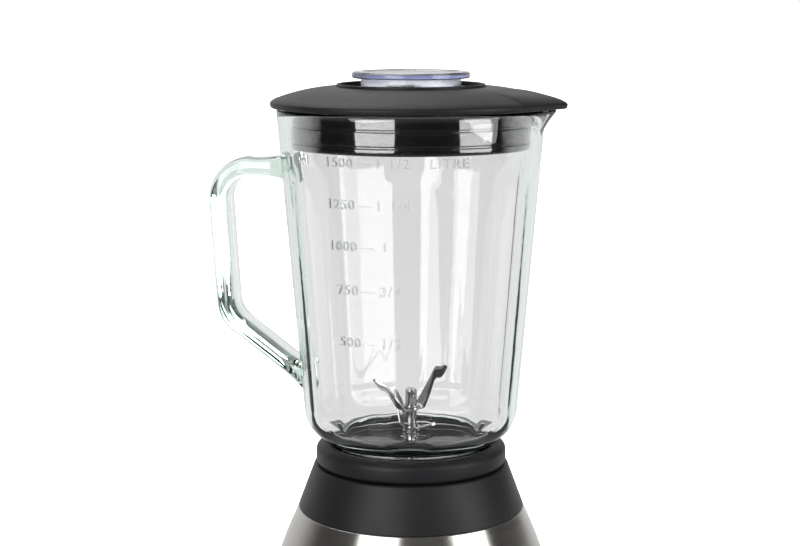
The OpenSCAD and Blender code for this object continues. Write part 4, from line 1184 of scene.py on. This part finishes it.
class OBJECT_OT_blender_base_band(bpy.types.Operator):
    """Turn the band round the base, the foot and the cord's gland"""

    bl_idname = "object.blender_base_band"
    bl_label = "Base band, foot and gland"

    def execute(self, context):
        low, high = BAND_LOW.z / MM, SHELL_LOW.z / MM
        wide, inside = BAND_HIGH.x / MM, SHELL_HIGH.x / MM - 1.5
        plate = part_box("bottom_plate")[1].z / MM - 5
        band = spun("base_band_black", eased([
            (84.8, low, 0), (wide - 2.5, low, 1.2), (wide, low + 3, 1.6), (wide, high, 1.0),
            (inside, high, 0), (inside, high + 4, 0.6), (inside - 2.4, high + 4, 0.6),
            (inside - 2.4, plate + 2.5, 1.0), (80, plate + 2.5, 0.6), (80, plate, 0),
            (84.8, plate, 0)]), 192)
        centre = (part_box("cord_gland")[0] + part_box("cord_gland")[1]) / 2
        hole = rod(5.9 * MM, 40 * MM, centre, (math.pi / 2, 0, 0))
        joined(band, hole, "DIFFERENCE")
        finish_piece(band, "base", FINISHES["plastic"], "base_ring", "base_ring")

        low, high = FOOT_LOW.z / MM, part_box("bottom_plate")[0].z / MM
        wide = FOOT_HIGH.x / MM
        turned_piece("foot_rubber", "base", "rubber", "foot_ring", [
            (wide - 12, high, 0), (wide - 12, low, 1.2), (wide - 8, low, 0.4),
            (wide - 7.6, low + 0.8, 0.3), (wide - 4.4, low + 0.8, 0.3), (wide - 4, low, 0.4),
            (wide, low, 1.2), (wide, high, 0)])

        inner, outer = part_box("cord_gland")
        start, end = inner.y / MM, outer.y / MM
        face = BAND_HIGH.x / MM
        gland = spun("cord_gland_rubber", eased([
            (3.6, start, 0.3), (8.0, start, 0.6), (8.0, start + 2.4, 0.4),
            (5.8, start + 2.4, 0.3), (5.8, face + 0.2, 0), (8.0, face + 0.2, 0.5),
            (7.6, face + 2.6, 0.8), (5.8, face + 2.8, 0.4), (5.0, end, 0.6),
            (3.6, end, 0.5)]), 64)
        gland.data.transform(Matrix.Translation((0, 0, centre.z))
                             @ Matrix.Rotation(-math.pi / 2, 4, "X"))
        finish_piece(gland, "base", FINISHES["rubber"], "cord_gland", "cord_gland")
        return {"FINISHED"}


# ---- Speed knob ----

DIAL_MARKS = [("P", 45), ("0", 0), ("1", -45), ("2", -90)]  # turned by this many degrees


class OBJECT_OT_blender_knob(bpy.types.Operator):
    """Turn the speed knob, its surround and its printed marks"""

    bl_idname = "object.blender_knob"
    bl_label = "Speed knob"

    def execute(self, context):
        s = context.scene.blender_housing
        edge, knob, depth = s.bezel_radius / MM, s.knob_radius / MM, s.knob_depth / MM
        front = 2.4
        bezel = spun("knob_surround", eased([
            (3.4, front, 0.2), (knob + 0.6, front, 0.2), (knob + 0.9, front - 0.4, 0.2),
            (knob + 1.2, front, 0.2), (edge - 0.9, front, 0.9), (edge, 0.6, 0.9),
            (edge - 0.4, -8, 0.3), (edge - 2.2, -8, 0.3), (edge - 2.2, -2.4, 0.3),
            (5.0, -2.4, 0), (5.0, 0, 0), (3.4, 0, 0)]), 128)
        on_knob_axis(bezel)
        finish_piece(bezel, "base", FINISHES["bezel"], "dial_bezel", "dial_bezel")

        back = 3.0
        grip = spun("knob_grip", eased([
            (3.0, back, 0), (knob - 1.5, back, 0.3), (knob - 1.5, back + 3, 0),
            (knob - 0.6, back + 3.1, 0.3), (knob - 2.0, back + depth - 0.6, 1.8),
            (knob - 5.0, back + depth, 1.5), (knob - 6.0, back + depth - 0.5, 0.8),
            (0, back + depth - 0.5, 0)], closed=False)
            + [Vector((0, back + 11)) * MM, Vector((3.0, back + 11)) * MM,
               Vector((3.0, back)) * MM], s.grips * 12, closed=False)
        deep, first = 0.9 * MM, (back + 4.2) * MM
        for point in grip.data.vertices:
            x, y, z = point.co
            radius = math.hypot(x, y)
            if radius < (knob - 4.2) * MM or z < first:
                continue
            ridge = max(0, math.cos(s.grips * math.atan2(y, x))) ** 1.5
            fade = min(1, (z - first) / MM) * min(1, max(0, (radius / MM - knob + 4.2) / 1.6))
            point.co.xy *= 1 - deep * ridge * fade / radius
        on_knob_axis(grip)
        finish_piece(grip, "knob", FINISHES["plastic"], "speed_knob", "speed_knob", crease=40)

        trim = spun("knob_trim_ring", eased([
            (knob - 1.5, back, 0.2), (knob + 0.4, back, 0.5), (knob + 0.4, back + 2.6, 0.8),
            (knob - 0.4, back + 3.0, 0.3), (knob - 1.5, back + 3.0, 0)]), 128)
        on_knob_axis(trim)
        finish_piece(trim, "knob", FINISHES["chrome"], "knob_trim", "knob_trim")

        pointer = block((1.8 * MM, 8.4 * MM, 1.0 * MM),
                        (0, 0.56 * knob * MM, (back + depth - 0.55) * MM))
        pointer.name = pointer.data.name = "knob_mark"
        bevelled(pointer, 0.3 * MM, 3)
        on_knob_axis(pointer)
        finish_piece(pointer, "knob", FINISHES["white"], "knob_pointer", "knob_pointer")

        marks = []
        for word, place in DIAL_MARKS:
            mark = lettering(word, 4.0 * MM, 0.04 * MM)
            a = math.radians(place)
            spot = (knob + 3.2) * MM
            mark.data.transform(Matrix.Translation(
                (-spot * math.sin(a), spot * math.cos(a), (front + 0.03) * MM)))
            marks.append(mark)
        printed = gathered("knob_numbers", marks)
        on_knob_axis(printed)
        tidy_mesh(printed)
        finish_piece(printed, "base", FINISHES["white"], "dial_bezel", crease=30)
        return {"FINISHED"}


# ---- Inner pieces ----

INNER_FINISHES = {
    "plastic": ("bottom_plate", "cooling_fan", "drive_coupling", "driven_coupling"),
    "zinc": ("tie_screws", "motor_bolts", "mount_screws"),
    "cream": ("terminal_block", "switch_body", "interlock_pin"),
    "amber": ("suppressor_capacitor",),
    "red": ("interlock_switch",),
    "wire": ("wiring",),
    "iron": ("stator_core", "armature_core"),
    "copper": ("field_coils", "armature_windings"),
    "bars": ("commutator",),
    "cast": ("upper_bracket", "lower_bracket"),
    "turned": ("bearings", "motor_shaft", "switch_shaft", "blade_spindle", "brush_springs"),
    "rubber": ("mount_pads", "spindle_seal"),
    "brass": ("brush_holders",),
    "carbon": ("carbon_brushes",),
    "silicone": ("jug_gasket",),
}


class OBJECT_OT_blender_inner_finishes(bpy.types.Operator):
    """Give the motor, switch, wiring and fastenings their finishes"""

    bl_idname = "object.blender_inner_finishes"
    bl_label = "Inner finishes"

    def execute(self, context):
        for finish, names in INNER_FINISHES.items():
            for name in names:
                piece = frame["nodes"][name]
                if not piece.material_slots:
                    piece.data.materials.append(None)
                for place in piece.material_slots:
                    place.material = FINISHES[finish]
        return {"FINISHED"}


# ---- Stage ----

CAMERA_TURN, CAMERA_DIP = 13.0, 9.1  # degrees round from the front, degrees downwards
CAMERA_AWAY, CAMERA_HIGH = 0.945, 0.4315  # distance from the upright axis, height
CAMERA_SHIFT = -11 / 800
LOOK_HEIGHT = 0.28  # where the lamps aim
THROUGH_GLASS = 0.55  # least brightness of the surroundings seen through the glass
LAMPS = [  # name, degrees round from the camera, width, height, distance, rise, power
    ("softbox left", -33, 1.05, 1.6, 1.5, 0.62, 27),
    ("softbox right", 61, 0.95, 1.6, 1.5, 0.62, 22),
    ("top light", -150, 1.2, 0.9, 0.8, 1.75, 9),
]


def softbox(name, turn, width, height, away, rise, power):
    """A large even light that stands round the camera's own direction."""
    light = bpy.data.lights.new(name, "AREA")
    light.shape, light.size, light.size_y = "RECTANGLE", width, height
    light.energy = power
    lamp = bpy.data.objects.new(name, light)
    bpy.context.collection.objects.link(lamp)
    a = math.radians(CAMERA_TURN - 90 + turn)
    lamp.location = (away * math.cos(a), away * math.sin(a), rise)
    look = Vector((0, 0, LOOK_HEIGHT)) - lamp.location
    lamp.rotation_mode = "QUATERNION"
    lamp.rotation_quaternion = look.to_track_quat("-Z", "Y")
    return lamp


def seen_through(tree, path):
    """Brightness given to rays that have only passed through glass on their way out."""
    turned = node(tree, "ShaderNodeMath", {
        0: path.outputs["Ray Depth"], 1: path.outputs["Transmission Depth"]},
        operation="SUBTRACT")
    straight = node(tree, "ShaderNodeMath", {0: turned.outputs["Value"], 1: 0.5},
                    operation="LESS_THAN")
    clear = node(tree, "ShaderNodeMath", {
        0: straight.outputs["Value"], 1: path.outputs["Is Transmission Ray"]},
        operation="MULTIPLY")
    made = node(tree, "ShaderNodeMath", {0: clear.outputs["Value"], 1: THROUGH_GLASS},
                operation="MULTIPLY")
    return made.outputs["Value"]


def place_camera(context):
    """Stands the camera a little to the right of the front, looking slightly down."""
    view = bpy.data.cameras.new("camera")
    view.lens, view.sensor_width = 78.75, 36
    view.shift_x = CAMERA_SHIFT
    view.clip_start, view.clip_end = 0.01, 100
    camera = bpy.data.objects.new("camera", view)
    context.collection.objects.link(camera)
    a = math.radians(CAMERA_TURN)
    camera.location = (CAMERA_AWAY * math.sin(a), -CAMERA_AWAY * math.cos(a), CAMERA_HIGH)
    camera.rotation_euler = (math.radians(90 - CAMERA_DIP), 0, a)
    context.scene.camera = camera


def lay_floor(context):
    """A pale floor that is plain to the camera, and bright behind the object for reflections."""
    a = math.radians(CAMERA_TURN)
    unselect()
    bpy.ops.mesh.primitive_circle_add(vertices=96, radius=30, fill_type="NGON")
    floor = context.object
    floor.name = "floor"
    made, tree, shader, where = blank("Pale floor", Roughness=0.9)
    shader.inputs["Specular IOR Level"].default_value = 0.0
    group = node(tree, "ShaderNodeGroup", {"Vector": where, "Patches": 2.0},
                 node_tree=EFFECTS["grain"])
    path = tree.nodes.new("ShaderNodeLightPath")
    seen = path.outputs["Is Camera Ray"]
    rgb = tuple(context.scene.blender_colours.floor)
    pale = tinted(tree, group.outputs["Patch"], rgb, 0.01)
    away = node(tree, "ShaderNodeVectorMath", {0: where}, operation="LENGTH")
    near = node(tree, "ShaderNodeMapRange", {
        "Value": away.outputs["Value"], "From Min": 0.5, "From Max": 1.1,
        "To Min": 0.4, "To Max": 0.0}, interpolation_type="SMOOTHSTEP")
    behind = node(tree, "ShaderNodeVectorMath", {
        0: where, 1: (-math.sin(a), math.cos(a), 0.0)}, operation="DOT_PRODUCT")
    back = node(tree, "ShaderNodeMapRange", {
        "Value": behind.outputs["Value"], "From Min": -0.1, "From Max": 0.4,
        "To Min": 0.01, "To Max": 0.86}, interpolation_type="SMOOTHSTEP")
    lit = node(tree, "ShaderNodeMath", {
        0: near.outputs["Result"], 1: back.outputs["Result"]}, operation="MAXIMUM")
    lit = node(tree, "ShaderNodeMath", {
        0: lit.outputs["Value"], 1: seen_through(tree, path)}, operation="MAXIMUM")
    glow = node(tree, "ShaderNodeMath", {0: seen, 1: 0.8, 2: lit.outputs["Value"]},
                operation="MULTIPLY_ADD")
    dim = node(tree, "ShaderNodeMath", {0: seen, 1: 0.95, 2: 0.05},
               operation="MULTIPLY_ADD")
    shown = node(tree, "ShaderNodeVectorMath", {0: pale, "Scale": dim.outputs["Value"]},
                 operation="SCALE")
    tree.links.new(shown.outputs["Vector"], shader.inputs["Base Color"])
    shader.inputs["Emission Color"].default_value = (1, 1, 1, 1)
    tree.links.new(glow.outputs["Value"], shader.inputs["Emission Strength"])
    floor.data.materials.append(made)


def light_surroundings(scene):
    """Plain white to the camera; for reflections, dark in front and bright behind."""
    a = math.radians(CAMERA_TURN)
    world = bpy.data.worlds.new("surroundings")
    scene.world = world
    world.use_nodes = True
    tree = world.node_tree
    tree.nodes.clear()
    out = tree.nodes.new("ShaderNodeOutputWorld")
    where = tree.nodes.new("ShaderNodeTexCoord").outputs["Generated"]
    path = tree.nodes.new("ShaderNodeLightPath")
    seen = path.outputs["Is Camera Ray"]
    behind = node(tree, "ShaderNodeVectorMath", {
        0: where, 1: (-math.sin(a + 0.25), math.cos(a + 0.25), 0.1)},
        operation="DOT_PRODUCT")
    shade = node(tree, "ShaderNodeMapRange", {
        "Value": behind.outputs["Value"], "From Min": 0.4, "From Max": 0.95,
        "To Min": 0.07, "To Max": 0.92}, interpolation_type="SMOOTHSTEP")
    parts = node(tree, "ShaderNodeSeparateXYZ", {"Vector": where})
    above = node(tree, "ShaderNodeMapRange", {
        "Value": parts.outputs["Z"], "From Min": 0.15, "From Max": 0.7,
        "To Min": 0.0, "To Max": 0.25})
    shade = node(tree, "ShaderNodeMath", {
        0: shade.outputs["Result"], 1: above.outputs["Result"]}, operation="MAXIMUM")
    shade = node(tree, "ShaderNodeMath", {
        0: shade.outputs["Value"], 1: seen_through(tree, path)}, operation="MAXIMUM")
    sky = node(tree, "ShaderNodeBackground", {
        "Color": (1, 1, 1, 1), "Strength": shade.outputs["Value"]})
    plain = node(tree, "ShaderNodeBackground", {"Color": (1, 1, 1, 1), "Strength": 1.0})
    mix = node(tree, "ShaderNodeMixShader", {
        0: seen, 1: sky.outputs["Background"], 2: plain.outputs["Background"]})
    tree.links.new(mix.outputs["Shader"], out.inputs["Surface"])


class SCENE_OT_blender_stage(bpy.types.Operator):
    """Set the camera, the floor, the soft lights and the pale surroundings"""

    bl_idname = "scene.blender_stage"
    bl_label = "Stage"

    def execute(self, context):
        scene = context.scene
        scene.view_settings.view_transform = "Standard"
        place_camera(context)
        lay_floor(context)
        for lamp in LAMPS:
            softbox(*lamp)
        light_surroundings(scene)
        return {"FINISHED"}


class VIEW3D_PT_blender_builder(bpy.types.Panel):
    """Lists the pieces' operators and sizes"""

    bl_idname = "VIEW3D_PT_blender_builder"
    bl_label = "Countertop blender"
    bl_space_type = "VIEW_3D"
    bl_region_type = "UI"
    bl_category = "Blender jug"

    def draw(self, context):
        layout = self.layout
        for operator in OPERATORS:
            layout.operator(operator.bl_idname)
        for label, group in SETTINGS:
            box = layout.box()
            box.label(text=label)
            owner = getattr(context.scene, group)
            for name in owner.__annotations__:
                box.prop(owner, name)


SETTINGS = [
    ("Jug", "blender_jug"), ("Lid", "blender_lid"), ("Blades", "blender_blades"),
    ("Housing", "blender_housing"), ("Colours", "blender_colours"),
]
GROUPS = [JugSizes, LidSizes, BladeSizes, HousingSizes, Colours]
OPERATORS = [
    SCENE_OT_blender_stage, OBJECT_OT_blender_glass_jug, OBJECT_OT_blender_jug_scale,
    OBJECT_OT_blender_jug_ring, OBJECT_OT_blender_blades, OBJECT_OT_blender_lid,
    OBJECT_OT_blender_filler_cap, OBJECT_OT_blender_collar, OBJECT_OT_blender_housing,
    OBJECT_OT_blender_base_band, OBJECT_OT_blender_knob, OBJECT_OT_blender_inner_finishes,
]


def register():
    for kind in GROUPS + OPERATORS + [VIEW3D_PT_blender_builder]:
        bpy.utils.register_class(kind)
    for (label, name), kind in zip(SETTINGS, GROUPS):
        setattr(bpy.types.Scene, name, PointerProperty(type=kind))


def unregister():
    for label, name in SETTINGS:
        delattr(bpy.types.Scene, name)
    for kind in reversed(GROUPS + OPERATORS + [VIEW3D_PT_blender_builder]):
        bpy.utils.unregister_class(kind)


def main():
    register()
    make_finishes()
    for operator in OPERATORS:
        area, name = operator.bl_idname.split(".")
        getattr(getattr(bpy.ops, area), name)()


if __name__ == "__main__":
    main()
